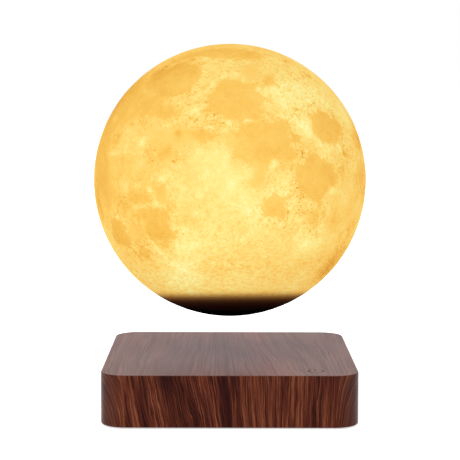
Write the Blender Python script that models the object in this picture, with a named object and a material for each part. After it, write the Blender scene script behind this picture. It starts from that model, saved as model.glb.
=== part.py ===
"""Levitating moon lamp: a hollow glowing moon that floats over a square walnut base.

Metres, +Z up. The origin is on the table, under the middle of the base. The front of the base faces -Y.
The base holds a ring magnet, four steering coils, their board and a transmitter coil. The moon holds the
magnet that floats, a receiver coil with its board, and a post with the lamp's LEDs.
"""

import math

import bmesh
import bpy
from mathutils import Matrix, Vector

# Sizes that everything shares
SEAT_GAP = 0.0003
OVERRUN = 0.002
MERGE = 0.000001
JOINING_OVERLAP = 0.0005

# Counts of facets
GLOBE_STEPS = 40
GLOBE_RINGS = 19
ROUND_STEPS = 32
MEDIUM_STEPS = 24
SMALL_STEPS = 12
CORNER_STEPS = 8
SLOT_END_STEPS = 6
EDGE_STEPS = 2
HEX_SIDES = 6

# Edges sharper than these are shown sharp, or are rounded
SMOOTH_ANGLE = math.radians(35)
ROUNDED_ANGLE = math.radians(40)

# The walnut housing
BASE_WIDTH = 0.162
BASE_CORNER = 0.016
HOUSING_HEIGHT = 0.033
HOUSING_WALL = 0.005
HOUSING_TOP = 0.003
HOUSING_EDGE = 0.0008
REBATE_WIDTH = 0.002
BOSS_RADIUS = 0.005
BOSS_INSET = 0.011

# The touch mark, engraved in the top over the touch sensor: a ring with a gap and a bar
TOUCH_FROM_SIDE = 0.027
TOUCH_FROM_FRONT = 0.0148
MARK_RADIUS = 0.0048
MARK_LINE = 0.0007
MARK_DEPTH = 0.0004
MARK_BAR_LENGTH = 0.0042
MARK_GAP_SHARE = 0.2
MARK_STEPS = 20

# The bottom cover, its feet and its vents
COVER_THICK = 0.0025
FOOT_STAND = 0.001
FOOT_RADIUS = 0.006
FOOT_SINK = 0.0012
FOOT_EDGE = 0.0003
FOOT_INSET = 0.021
VENT_COUNT = 6
VENT_LENGTH = 0.022
VENT_WIDTH = 0.002
VENT_PITCH = 0.006

# Screws: countersunk ones for the cover, pan heads for the board and the moon's deck
COVER_SCREW_RADIUS = 0.0015
COVER_SCREW_LENGTH = 0.009
COVER_SCREW_HEAD_RADIUS = 0.0028
COVER_SCREW_HEAD_HEIGHT = 0.0014
BOARD_SCREW_RADIUS = 0.0013
BOARD_SCREW_LENGTH = 0.0042
BOARD_SCREW_HEAD_RADIUS = 0.0025
BOARD_SCREW_HEAD_HEIGHT = 0.0016
DECK_SCREW_RADIUS = 0.001
DECK_SCREW_LENGTH = 0.0065
DECK_SCREW_HEAD_RADIUS = 0.0019
DECK_SCREW_HEAD_HEIGHT = 0.0012
SOCKET_SHARE = 0.5
SOCKET_DEPTH_SHARE = 0.55

# The main board on its standoffs
BOARD_SIDE_GAP = 0.003
BOARD_END_GAP = 0.0005
BOARD_CORNER = 0.003
BOARD_THICK = 0.0016
STANDOFF_HEIGHT = 0.003
STANDOFF_RADIUS = 0.0035
STANDOFF_INSET = 0.006
STANDOFF_DEPTH_SHARE = 0.53

# The ring magnet and the four steering coils inside it
STRIP_ROUND_RING = 0.02
RING_BAND = 0.015
COIL_HEADROOM = 0.003
COIL_COUNT = 4
COIL_RING_GAP = 0.0035
COIL_SIDE_GAP = 0.0005
BOBBIN_HUB_SHARE = 0.47
BOBBIN_BORE_SHARE = 0.29
BOBBIN_FLANGE = 0.0012
WINDING_INSET = 0.0008

# The Hall sensors, on a small round board between the coils
HALL_POST_RADIUS = 0.002
HALL_POST_HEIGHT_SHARE = 0.5
HALL_BOARD_GAP = 0.0008
HALL_BOARD_THICK = 0.001
HALL_SENSOR_SIZE = (0.003, 0.0024, 0.0015)
HALL_SENSOR_SHARES = {"x": (-0.5, -0.3), "y": (0.5, -0.3), "z": (0.0, 0.45)}

# The transmitter coil and the carrier that clamps the stack under the top
CARRIER_PLATE = 0.0012
CARRIER_WALL = 0.0015
CARRIER_HOLE_RADIUS = 0.012
CARRIER_MARGIN = 0.0042
TRANSMITTER_BAND = 0.0105
TRANSMITTER_HEIGHT = 0.0035
CARRIER_LIP = 0.002

# What stands on the main board besides
CAPACITOR_RADIUS = 0.005
CAPACITOR_HEIGHT = 0.014
CAPACITOR_EDGE = 0.0006
CHIP_SIZES = {
    "driver_chip_1": (0.01, 0.0075, 0.002),
    "driver_chip_2": (0.01, 0.0075, 0.002),
    "controller_chip": (0.007, 0.007, 0.0014),
    "power_inductor": (0.012, 0.012, 0.0065),
}
CHIP_WIDTH_SHARES = {
    "driver_chip_1": -0.37,
    "driver_chip_2": -0.23,
    "controller_chip": 0.03,
    "power_inductor": 0.24,
}
CAPACITOR_WIDTH_SHARE = -0.27

# The power socket at the back
JACK_WIDTH = 0.009
JACK_LENGTH = 0.0142
JACK_HEIGHT = 0.011
JACK_AXIS_HEIGHT = 0.0065
JACK_BORE_RADIUS = 0.0031
JACK_BORE_DEPTH = 0.01
JACK_PIN_RADIUS = 0.001
JACK_PIN_RECESS = 0.0015
JACK_HOLE_RADIUS = 0.0055

# The touch sensor under its mark
TOUCH_PAD_RADIUS = 0.0055
TOUCH_PAD_THICK = 0.0006
TOUCH_SPRING_RADIUS = 0.004
TOUCH_WIRE_RADIUS = 0.0004
TOUCH_SPRING_TURNS = 6
TOUCH_POINTS_PER_TURN = 8

# The moon: where it floats, its shade and its bottom cap
HOVER_GAP = 0.0255
MOON_RADIUS = 0.09
SHADE_WALL = 0.0016
MOUTH_RADIUS = 0.038
CAP_WALL = 0.002
CAP_LIP_HEIGHT = 0.0135
CAP_ARC_STEPS = 6
SNAP_RIDGE = 0.0009
SNAP_RIDGE_HEIGHT = 0.0012

# The floating magnet and the receiver coil around it
MAGNET_RADIUS = 0.023
MAGNET_HEIGHT = 0.009
MAGNET_FLOOR = 0.0018
BACK_PLATE_THICK = 0.0012
RECEIVER_MAGNET_GAP = 0.0015
RECEIVER_BOSS_GAP = 0.0004
RECEIVER_HEIGHT = 0.003
CAP_BOSS_RADIUS = 0.003
CAP_BOSS_INSET = 0.0027
CAP_BOSS_COUNT = 3

# The deck over the magnet, the receiver board on it and what the board carries
DECK_THICK = 0.002
DECK_HOLE_RADIUS = 0.004
RECEIVER_BOARD_GAP = 0.0021
RECEIVER_BOARD_THICK = 0.0016
RECTIFIER_SIZE = (0.006, 0.005, 0.002)
STORE_RADIUS = 0.004
STORE_HEIGHT = 0.01
BOARD_PLACE_SHARE = 0.62

# The post, the LED board, its LEDs and the diffuser over them
POST_RADIUS = 0.007
POST_WALL = 0.0018
POST_FOOT_RADIUS = 0.0092
POST_FLANGE_THICK = 0.002
POST_SLOT_WIDTH = 0.0036
POST_SLOT_HEIGHT = 0.012
LED_LEVEL_BELOW_CENTRE = 0.012
LED_BOARD_GAP = 0.0026
LED_BOARD_THICK = 0.0016
LED_COUNT = 4
LED_PLACE_SHARE = 0.6
LED_SIZE = (0.005, 0.005, 0.0016)
DIFFUSER_RADIUS = 0.024
DIFFUSER_WALL = 0.0014
DIFFUSER_ARC_STEPS = 7

# The lead from the receiver board up the post to the LEDs
LEAD_RADIUS = 0.0011
LEAD_POST_GAP = 0.0046
LEAD_STRAIGHT = 0.0028
LEAD_POINTS = 16

# Heights that follow from the sizes above
HOUSING_BOTTOM = FOOT_STAND
BASE_TOP = HOUSING_BOTTOM + HOUSING_HEIGHT
CAVITY_TOP = BASE_TOP - HOUSING_TOP
COVER_TOP = HOUSING_BOTTOM + COVER_THICK
REBATE_TOP = COVER_TOP + SEAT_GAP
STANDOFF_TOP = COVER_TOP + STANDOFF_HEIGHT
BOARD_BOTTOM = STANDOFF_TOP + SEAT_GAP
BOARD_TOP = BOARD_BOTTOM + BOARD_THICK
ON_BOARD = BOARD_TOP + SEAT_GAP
CARRIER_STACK = SEAT_GAP + CARRIER_PLATE + SEAT_GAP + TRANSMITTER_HEIGHT
RING_HEIGHT = CAVITY_TOP - ON_BOARD - CARRIER_STACK - COIL_HEADROOM
RING_TOP = ON_BOARD + RING_HEIGHT
CARRIER_BOTTOM = RING_TOP + SEAT_GAP
CARRIER_TOP = CARRIER_BOTTOM + CARRIER_PLATE
MOON_CENTRE = BASE_TOP + HOVER_GAP + MOON_RADIUS

# Half widths that follow
HALF_BASE = BASE_WIDTH / 2
HALF_CAVITY = HALF_BASE - HOUSING_WALL
HALF_REBATE = HALF_CAVITY + REBATE_WIDTH
CAVITY_CORNER = BASE_CORNER - HOUSING_WALL
BOSS_PLACE = HALF_BASE - BOSS_INSET
FOOT_PLACE = HALF_BASE - FOOT_INSET
TOUCH_X = HALF_BASE - TOUCH_FROM_SIDE
TOUCH_Y = TOUCH_FROM_FRONT - HALF_BASE
HALF_BOARD_X = BOSS_PLACE - BOSS_RADIUS - BOARD_SIDE_GAP
HALF_BOARD_Y = HALF_CAVITY - BOARD_END_GAP
STANDOFF_X = HALF_BOARD_X - STANDOFF_INSET
STANDOFF_Y = HALF_BOARD_Y * STANDOFF_DEPTH_SHARE
RING_OUTER = HALF_CAVITY - STRIP_ROUND_RING
RING_INNER = RING_OUTER - RING_BAND
STRIP_MIDDLE = (RING_OUTER + HALF_BOARD_Y) / 2
COIL_ROOM = RING_INNER - COIL_RING_GAP
COIL_FIT_SHARE = math.sin(math.pi / COIL_COUNT) / (1 + math.sin(math.pi / COIL_COUNT))
BOBBIN_RADIUS = COIL_ROOM * COIL_FIT_SHARE - COIL_SIDE_GAP
COIL_PLACE_RADIUS = COIL_ROOM - BOBBIN_RADIUS
BOBBIN_HUB_RADIUS = BOBBIN_RADIUS * BOBBIN_HUB_SHARE
BOBBIN_BORE_RADIUS = BOBBIN_RADIUS * BOBBIN_BORE_SHARE
HALL_BOARD_RADIUS = COIL_PLACE_RADIUS - BOBBIN_RADIUS - HALL_BOARD_GAP
TRANSMITTER_OUTER = RING_OUTER - CARRIER_MARGIN - CARRIER_WALL - SEAT_GAP
TRANSMITTER_INNER = TRANSMITTER_OUTER - TRANSMITTER_BAND
JACK_AXIS_Z = ON_BOARD + JACK_AXIS_HEIGHT
JACK_FACE_Y = HALF_CAVITY - SEAT_GAP


def on_sphere(radius, across):
    """How far below a sphere's middle its surface is, at that distance from its axis."""
    return -math.sqrt(radius * radius - across * across)


# Heights in the moon, from its centre
SHADE_INNER = MOON_RADIUS - SHADE_WALL
CAP_RADIUS = MOUTH_RADIUS - SEAT_GAP
CAP_RIM_Z = on_sphere(MOON_RADIUS, CAP_RADIUS)
RIDGE_RADIUS = CAP_RADIUS + SNAP_RIDGE
RIDGE_BOTTOM = on_sphere(SHADE_INNER, RIDGE_RADIUS) + SEAT_GAP
LIP_INNER = CAP_RADIUS - CAP_WALL
LIP_TOP = CAP_RIM_Z + CAP_LIP_HEIGHT
CAP_BOSS_PLACE_RADIUS = LIP_INNER - CAP_BOSS_INSET
RECEIVER_INNER = MAGNET_RADIUS + RECEIVER_MAGNET_GAP
RECEIVER_OUTER = CAP_BOSS_PLACE_RADIUS - CAP_BOSS_RADIUS - RECEIVER_BOSS_GAP
RECEIVER_BOARD_RADIUS = CAP_BOSS_PLACE_RADIUS - DECK_SCREW_HEAD_RADIUS - RECEIVER_BOARD_GAP
COIL_FLOOR = on_sphere(MOON_RADIUS, LIP_INNER) + CAP_WALL
MAGNET_POCKET = MAGNET_RADIUS + SEAT_GAP
MAGNET_FLOOR_Z = on_sphere(MOON_RADIUS, MAGNET_POCKET) + MAGNET_FLOOR
MAGNET_BOTTOM = MAGNET_FLOOR_Z + SEAT_GAP
MAGNET_TOP = MAGNET_BOTTOM + MAGNET_HEIGHT
BACK_PLATE_BOTTOM = MAGNET_TOP + SEAT_GAP
BACK_PLATE_TOP = BACK_PLATE_BOTTOM + BACK_PLATE_THICK
DECK_BOTTOM = BACK_PLATE_TOP + SEAT_GAP
DECK_TOP = DECK_BOTTOM + DECK_THICK
CAP_BOSS_TOP = DECK_BOTTOM - SEAT_GAP
ON_DECK = DECK_TOP + SEAT_GAP
RECEIVER_BOARD_TOP = ON_DECK + RECEIVER_BOARD_THICK
ON_RECEIVER_BOARD = RECEIVER_BOARD_TOP + SEAT_GAP
LED_BOARD_TOP = -LED_LEVEL_BELOW_CENTRE
LED_BOARD_BOTTOM = LED_BOARD_TOP - LED_BOARD_THICK
POST_TOP = LED_BOARD_BOTTOM - SEAT_GAP
POST_BORE = POST_RADIUS - POST_WALL
LED_BOARD_RADIUS = DIFFUSER_RADIUS - DIFFUSER_WALL - LED_BOARD_GAP
LED_PLACE_RADIUS = LED_BOARD_RADIUS * LED_PLACE_SHARE
LEAD_START_X = POST_FOOT_RADIUS + LEAD_POST_GAP


# Tools


def clear_scene():
    for thing in list(bpy.data.objects):
        bpy.data.objects.remove(thing, do_unlink=True)


def material(name, colour, roughness, metallic=0.0):
    made = bpy.data.materials.get(name)
    if made is None:
        made = bpy.data.materials.new(name)
        made.use_nodes = True
        shader = made.node_tree.nodes["Principled BSDF"]
        shader.inputs["Base Color"].default_value = (*colour, 1.0)
        shader.inputs["Roughness"].default_value = roughness
        shader.inputs["Metallic"].default_value = metallic
    return made


def walnut():
    return material("walnut", (0.13, 0.045, 0.025), 0.4)


def black_plastic():
    return material("black_plastic", (0.02, 0.02, 0.022), 0.5)


def white_plastic():
    return material("white_plastic", (0.82, 0.82, 0.8), 0.5)


def moon_plastic():
    return material("moon_plastic", (0.95, 0.72, 0.3), 0.7)


def rubber():
    return material("rubber", (0.03, 0.03, 0.03), 0.9)


def steel():
    return material("steel", (0.6, 0.6, 0.62), 0.35, 1.0)


def nickel():
    return material("nickel", (0.72, 0.7, 0.66), 0.2, 1.0)


def ferrite():
    return material("ferrite", (0.06, 0.06, 0.065), 0.6)


def copper():
    return material("copper", (0.72, 0.32, 0.14), 0.35, 1.0)


def circuit_board():
    return material("circuit_board", (0.02, 0.16, 0.07), 0.45)


def frosted():
    return material("frosted", (0.9, 0.9, 0.88), 0.6)


def lit_phosphor():
    return material("lit_phosphor", (0.95, 0.75, 0.25), 0.5)


def add(name, data, finish=None, parent=None, at=(0, 0, 0), turn=0.0):
    """One object in the scene, turned about Z and placed from its parent's origin."""
    made = bpy.data.objects.new(name, data)
    bpy.context.scene.collection.objects.link(made)
    made.parent = parent
    made.location = at
    made.rotation_euler = (0, 0, turn)
    if finish is not None and not data.materials:
        data.materials.append(finish)
    return made


def mesh_from(bm, name, smooth_angle=SMOOTH_ANGLE):
    bmesh.ops.recalc_face_normals(bm, faces=bm.faces)
    data = bpy.data.meshes.new(name)
    bm.to_mesh(data)
    bm.free()
    data.shade_smooth()
    data.set_sharp_from_angle(angle=smooth_angle)
    return data


def lathe(name, profile, steps=ROUND_STEPS):
    """A profile of (radius, height) points turned about Z. One from axis to axis is left open."""
    bm = bmesh.new()
    points = [bm.verts.new((radius, 0, height)) for radius, height in profile]
    on_axis = profile[0][0] == 0 and profile[-1][0] == 0
    pairs = list(zip(points, points[1:]))
    if not on_axis:
        pairs.append((points[-1], points[0]))
    edges = [bm.edges.new(pair) for pair in pairs]
    bmesh.ops.spin(
        bm,
        geom=points + edges,
        cent=(0, 0, 0),
        axis=(0, 0, 1),
        angle=math.tau,
        steps=steps,
        use_merge=True,
    )
    bmesh.ops.remove_doubles(bm, verts=bm.verts, dist=MERGE)
    return mesh_from(bm, name)


def tube_profile(inner, outer, low, high):
    return [(inner, low), (outer, low), (outer, high), (inner, high)]


def disc_profile(radius, low, high):
    return [(0, low), (radius, low), (radius, high), (0, high)]


def arc(radius, start, end, steps):
    """Points (across, height) on a circle about the origin, between two angles from straight down."""
    turns = [start + (end - start) * step / steps for step in range(steps + 1)]
    return [(radius * math.sin(turn), -radius * math.cos(turn)) for turn in turns]


def shell_profile(outer, inner, steps):
    """A shell from its closed top to its rim. A side is a radius and its rim's angle from straight down."""
    outside = arc(outer[0], math.pi, outer[1], steps)
    inside = arc(inner[0], inner[1], math.pi, steps)
    return [(0, outer[0]), *outside[1:], *inside[:-1], (0, inner[0])]


def rounded_outline(half_x, half_y, radius, steps=CORNER_STEPS):
    """A rectangle with round corners, anticlockwise from its right side."""
    outline = []
    corners = [(1, 1, 0), (-1, 1, 1), (-1, -1, 2), (1, -1, 3)]
    for side_x, side_y, quarter in corners:
        middle = Vector((side_x * (half_x - radius), side_y * (half_y - radius)))
        for step in range(steps + 1):
            turn = (quarter + step / steps) * math.pi / 2
            outline.append(middle + radius * Vector((math.cos(turn), math.sin(turn))))
    return outline


def slot_outline(length, width):
    """A slot along X with half-round ends."""
    outline = []
    for side, first in ((1, -math.pi / 2), (-1, math.pi / 2)):
        middle = side * (length - width) / 2
        for step in range(SLOT_END_STEPS + 1):
            turn = first + math.pi * step / SLOT_END_STEPS
            outline.append((middle + width / 2 * math.cos(turn), width / 2 * math.sin(turn)))
    return outline


def slab(name, outline, low, high):
    """An outline extruded from one height to another."""
    bm = bmesh.new()
    face = bm.faces.new([bm.verts.new((x, y, low)) for x, y in outline])
    raised = bmesh.ops.extrude_face_region(bm, geom=[face])["geom"]
    points = [item for item in raised if isinstance(item, bmesh.types.BMVert)]
    bmesh.ops.translate(bm, verts=points, vec=(0, 0, high - low))
    return mesh_from(bm, name)


def block(name, size, low=0.0):
    """A box centred on Z that stands on the height given."""
    half_x, half_y = size[0] / 2, size[1] / 2
    outline = [(half_x, half_y), (-half_x, half_y), (-half_x, -half_y), (half_x, -half_y)]
    return slab(name, outline, low, low + size[2])


def copies(name, source, places, turns=None):
    """One mesh that holds a copy of the source at each place, for a cutter or for bosses."""
    bm = bmesh.new()
    for index, place in enumerate(places):
        before = len(bm.verts)
        bm.from_mesh(source)
        bm.verts.ensure_lookup_table()
        turn = Matrix.Rotation(turns[index], 4, "Z") if turns else Matrix.Identity(4)
        bmesh.ops.transform(
            bm, matrix=Matrix.Translation(place) @ turn, verts=bm.verts[before:]
        )
    return mesh_from(bm, name)


def helper(name, data, parent=None):
    """An object that only cuts or joins, and isn't a piece."""
    made = add(name, data, parent=parent)
    made.hide_render = True
    made.display_type = "WIRE"
    return made


def boolean(target, tool, operation):
    modifier = target.modifiers.new(tool.name, "BOOLEAN")
    modifier.object = tool
    modifier.operation = operation
    modifier.solver = "EXACT"


def cut(target, name, data, parent=None):
    boolean(target, helper(name, data, parent), "DIFFERENCE")


def join(target, name, data, parent=None):
    boolean(target, helper(name, data, parent), "UNION")


def round_edges(target, width, steps=EDGE_STEPS):
    modifier = target.modifiers.new("edges", "BEVEL")
    modifier.width = width
    modifier.segments = steps
    modifier.limit_method = "ANGLE"
    modifier.angle_limit = ROUNDED_ANGLE


def settled_mesh(template):
    """The template's mesh with its modifiers in it, so that several objects can share it."""
    bpy.context.view_layer.update()
    graph = bpy.context.evaluated_depsgraph_get()
    data = bpy.data.meshes.new_from_object(template.evaluated_get(graph))
    data.name = template.name
    bpy.data.objects.remove(template, do_unlink=True)
    return data


def four_corners(half_x, half_y, height=0.0):
    signs = [(-1, -1), (1, -1), (1, 1), (-1, 1)]
    return [(side_x * half_x, side_y * half_y, height) for side_x, side_y in signs]


def around(radius, count, height=0.0, first=0.0):
    turns = [first + math.tau * index / count for index in range(count)]
    places = [(radius * math.cos(t), radius * math.sin(t), height) for t in turns]
    return places, turns


# Screws


def socket_screw(name, profile, head_face, head_radius, head_height):
    """A turned screw with a six-sided socket in its head. head_face is +1 where the head looks up."""
    screw = add(name, lathe(name, profile, SMALL_STEPS), steel())
    depth = head_height * SOCKET_DEPTH_SHARE
    top = max(height for _, height in profile) if head_face > 0 else min(h for _, h in profile)
    low, high = (top - depth, top + OVERRUN) if head_face > 0 else (top - OVERRUN, top + depth)
    socket_profile = disc_profile(head_radius * SOCKET_SHARE, low, high)
    cut(screw, name + "_socket", lathe(name, socket_profile, HEX_SIDES))
    tool = screw.modifiers[0].object
    data = settled_mesh(screw)
    bpy.data.objects.remove(tool, do_unlink=True)
    return data


def countersunk_screw(name):
    """Its head's flat face is at height 0 and looks down. Its shank goes up."""
    profile = [
        (0, 0),
        (COVER_SCREW_HEAD_RADIUS, 0),
        (COVER_SCREW_RADIUS, COVER_SCREW_HEAD_HEIGHT),
        (COVER_SCREW_RADIUS, COVER_SCREW_LENGTH),
        (0, COVER_SCREW_LENGTH),
    ]
    return socket_screw(
        name, profile, -1, COVER_SCREW_HEAD_RADIUS, COVER_SCREW_HEAD_HEIGHT
    )


def pan_screw(name, radius, length, head_radius, head_height):
    """The underside of its head is at height 0. Its shank goes down."""
    profile = [
        (0, -length),
        (radius, -length),
        (radius, 0),
        (head_radius, 0),
        (head_radius, head_height),
        (0, head_height),
    ]
    return socket_screw(name, profile, 1, head_radius, head_height)


# The base


def base_housing(frame):
    outline = rounded_outline(HALF_BASE, HALF_BASE, BASE_CORNER)
    block_mesh = slab("base_housing", outline, HOUSING_BOTTOM, BASE_TOP)
    housing = add("base_housing", block_mesh, walnut(), frame)
    round_edges(housing, HOUSING_EDGE)

    cavity = rounded_outline(HALF_CAVITY, HALF_CAVITY, CAVITY_CORNER)
    cut(housing, "cavity", slab("cavity", cavity, HOUSING_BOTTOM - OVERRUN, CAVITY_TOP), frame)
    boss_low, boss_high = REBATE_TOP - JOINING_OVERLAP, CAVITY_TOP + JOINING_OVERLAP
    boss = lathe("boss", disc_profile(BOSS_RADIUS, boss_low, boss_high), SMALL_STEPS)
    join(housing, "bosses", copies("bosses", boss, four_corners(BOSS_PLACE, BOSS_PLACE)), frame)
    rebate = rounded_outline(HALF_REBATE, HALF_REBATE, CAVITY_CORNER + REBATE_WIDTH)
    cut(housing, "rebate", slab("rebate", rebate, HOUSING_BOTTOM - OVERRUN, REBATE_TOP), frame)

    pilot_top = HOUSING_BOTTOM + COVER_SCREW_LENGTH + COVER_SCREW_RADIUS
    pilot_radius = COVER_SCREW_RADIUS + SEAT_GAP
    pilot = lathe("pilot", disc_profile(pilot_radius, REBATE_TOP - OVERRUN, pilot_top), SMALL_STEPS)
    cut(housing, "pilots", copies("pilots", pilot, four_corners(BOSS_PLACE, BOSS_PLACE)), frame)

    through = disc_profile(JACK_HOLE_RADIUS, HALF_CAVITY - OVERRUN, HALF_BASE + OVERRUN)
    hole = lathe("jack_hole", through, MEDIUM_STEPS)
    hole.transform(Matrix.Rotation(-math.pi / 2, 4, "X"))
    hole.transform(Matrix.Translation((0, 0, JACK_AXIS_Z)))
    cut(housing, "jack_hole", hole, frame)
    engrave_touch_mark(housing, frame)


def engrave_touch_mark(housing, frame):
    """A ring that is open at the back, with a bar in its gap."""
    low, high = BASE_TOP - MARK_DEPTH, BASE_TOP + OVERRUN
    inner, outer = MARK_RADIUS - MARK_LINE / 2, MARK_RADIUS + MARK_LINE / 2
    gap = math.tau * MARK_GAP_SHARE
    start, sweep = math.pi / 2 + gap / 2, math.tau - gap
    turns = [start + sweep * step / MARK_STEPS for step in range(MARK_STEPS + 1)]
    outside = [(outer * math.cos(turn), outer * math.sin(turn)) for turn in turns]
    inside = [(inner * math.cos(turn), inner * math.sin(turn)) for turn in reversed(turns)]
    ring = slab("mark_ring", outside + inside, low, high)
    bar = block("mark_bar", (MARK_LINE, MARK_BAR_LENGTH, high - low), low)
    ring.transform(Matrix.Translation((TOUCH_X, TOUCH_Y, 0)))
    bar.transform(Matrix.Translation((TOUCH_X, TOUCH_Y + MARK_RADIUS - MARK_BAR_LENGTH / 4, 0)))
    cut(housing, "mark_ring", ring, frame)
    cut(housing, "mark_bar", bar, frame)


def bottom_cover(frame):
    half = HALF_REBATE - SEAT_GAP
    outline = rounded_outline(half, half, CAVITY_CORNER + REBATE_WIDTH - SEAT_GAP)
    plate = slab("bottom_cover", outline, HOUSING_BOTTOM, COVER_TOP)
    cover = add("bottom_cover", plate, black_plastic(), frame)

    column = disc_profile(STANDOFF_RADIUS, COVER_TOP - JOINING_OVERLAP, STANDOFF_TOP)
    standoff = lathe("standoff", column, SMALL_STEPS)
    places = four_corners(STANDOFF_X, STANDOFF_Y)
    join(cover, "standoffs", copies("standoffs", standoff, places), frame)
    pilot_bottom = BOARD_TOP + SEAT_GAP - BOARD_SCREW_LENGTH - SEAT_GAP
    pilot = lathe(
        "board_pilot",
        disc_profile(BOARD_SCREW_RADIUS + SEAT_GAP, pilot_bottom, STANDOFF_TOP + OVERRUN),
        SMALL_STEPS,
    )
    cut(cover, "board_pilots", copies("board_pilots", pilot, places), frame)

    sink_profile = [
        (0, HOUSING_BOTTOM - OVERRUN),
        (COVER_SCREW_HEAD_RADIUS + 2 * SEAT_GAP, HOUSING_BOTTOM - OVERRUN),
        (COVER_SCREW_HEAD_RADIUS + 2 * SEAT_GAP, HOUSING_BOTTOM),
        (COVER_SCREW_RADIUS + SEAT_GAP, HOUSING_BOTTOM + COVER_SCREW_HEAD_HEIGHT + SEAT_GAP),
        (COVER_SCREW_RADIUS + SEAT_GAP, COVER_TOP + OVERRUN),
        (0, COVER_TOP + OVERRUN),
    ]
    sink = lathe("sink", sink_profile, SMALL_STEPS)
    cut(cover, "sinks", copies("sinks", sink, four_corners(BOSS_PLACE, BOSS_PLACE)), frame)

    recess_top = HOUSING_BOTTOM + FOOT_SINK + SEAT_GAP
    recess_profile = disc_profile(FOOT_RADIUS + SEAT_GAP, HOUSING_BOTTOM - OVERRUN, recess_top)
    recess = lathe("recess", recess_profile, MEDIUM_STEPS)
    cut(cover, "recesses", copies("recesses", recess, four_corners(FOOT_PLACE, FOOT_PLACE)), frame)

    slot = slot_outline(VENT_LENGTH, VENT_WIDTH)
    vent = slab("vent", slot, HOUSING_BOTTOM - OVERRUN, COVER_TOP + OVERRUN)
    rows = [(0, VENT_PITCH * (row - (VENT_COUNT - 1) / 2), 0) for row in range(VENT_COUNT)]
    cut(cover, "vents", copies("vents", vent, rows), frame)

    screw = countersunk_screw("cover_screw")
    foot = rubber_foot()
    for number, place in enumerate(four_corners(BOSS_PLACE, BOSS_PLACE, HOUSING_BOTTOM), 1):
        add(f"cover_screw_{number}", screw, steel(), frame, place)
    for number, place in enumerate(four_corners(FOOT_PLACE, FOOT_PLACE), 1):
        add(f"foot_{number}", foot, rubber(), frame, place)


def rubber_foot():
    top = HOUSING_BOTTOM + FOOT_SINK
    profile = [
        (0, 0),
        (FOOT_RADIUS - FOOT_EDGE, 0),
        (FOOT_RADIUS, FOOT_EDGE),
        (FOOT_RADIUS, top),
        (0, top),
    ]
    return lathe("foot", profile, MEDIUM_STEPS)


def main_board(frame):
    outline = rounded_outline(HALF_BOARD_X, HALF_BOARD_Y, BOARD_CORNER, CORNER_STEPS // 3)
    board = add("main_board", slab("main_board", outline, BOARD_BOTTOM, BOARD_TOP), circuit_board(), frame)
    hole_low, hole_high = BOARD_BOTTOM - OVERRUN, BOARD_TOP + OVERRUN
    hole_profile = disc_profile(BOARD_SCREW_RADIUS + SEAT_GAP, hole_low, hole_high)
    hole = lathe("board_hole", hole_profile, SMALL_STEPS)
    cut(board, "board_holes", copies("board_holes", hole, four_corners(STANDOFF_X, STANDOFF_Y)), frame)

    screw = pan_screw(
        "board_screw",
        BOARD_SCREW_RADIUS,
        BOARD_SCREW_LENGTH,
        BOARD_SCREW_HEAD_RADIUS,
        BOARD_SCREW_HEAD_HEIGHT,
    )
    for number, place in enumerate(four_corners(STANDOFF_X, STANDOFF_Y, ON_BOARD), 1):
        add(f"board_screw_{number}", screw, steel(), frame, place)

    width = 2 * HALF_BOARD_X
    for name, share in CHIP_WIDTH_SHARES.items():
        finish, y = (ferrite(), STRIP_MIDDLE) if "inductor" in name else (black_plastic(), -STRIP_MIDDLE)
        add(name, block(name, CHIP_SIZES[name]), finish, frame, (width * share, y, ON_BOARD))
    tin = can("smoothing_capacitor", CAPACITOR_RADIUS, CAPACITOR_HEIGHT)
    place = (width * CAPACITOR_WIDTH_SHARE, STRIP_MIDDLE, ON_BOARD)
    add("smoothing_capacitor", tin, nickel(), frame, place)


def can(name, radius, height):
    """A capacitor's can with a rolled edge at its top."""
    profile = [
        (0, 0),
        (radius, 0),
        (radius, height - CAPACITOR_EDGE),
        (radius - CAPACITOR_EDGE, height),
        (0, height),
    ]
    return lathe(name, profile, SMALL_STEPS)


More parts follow.
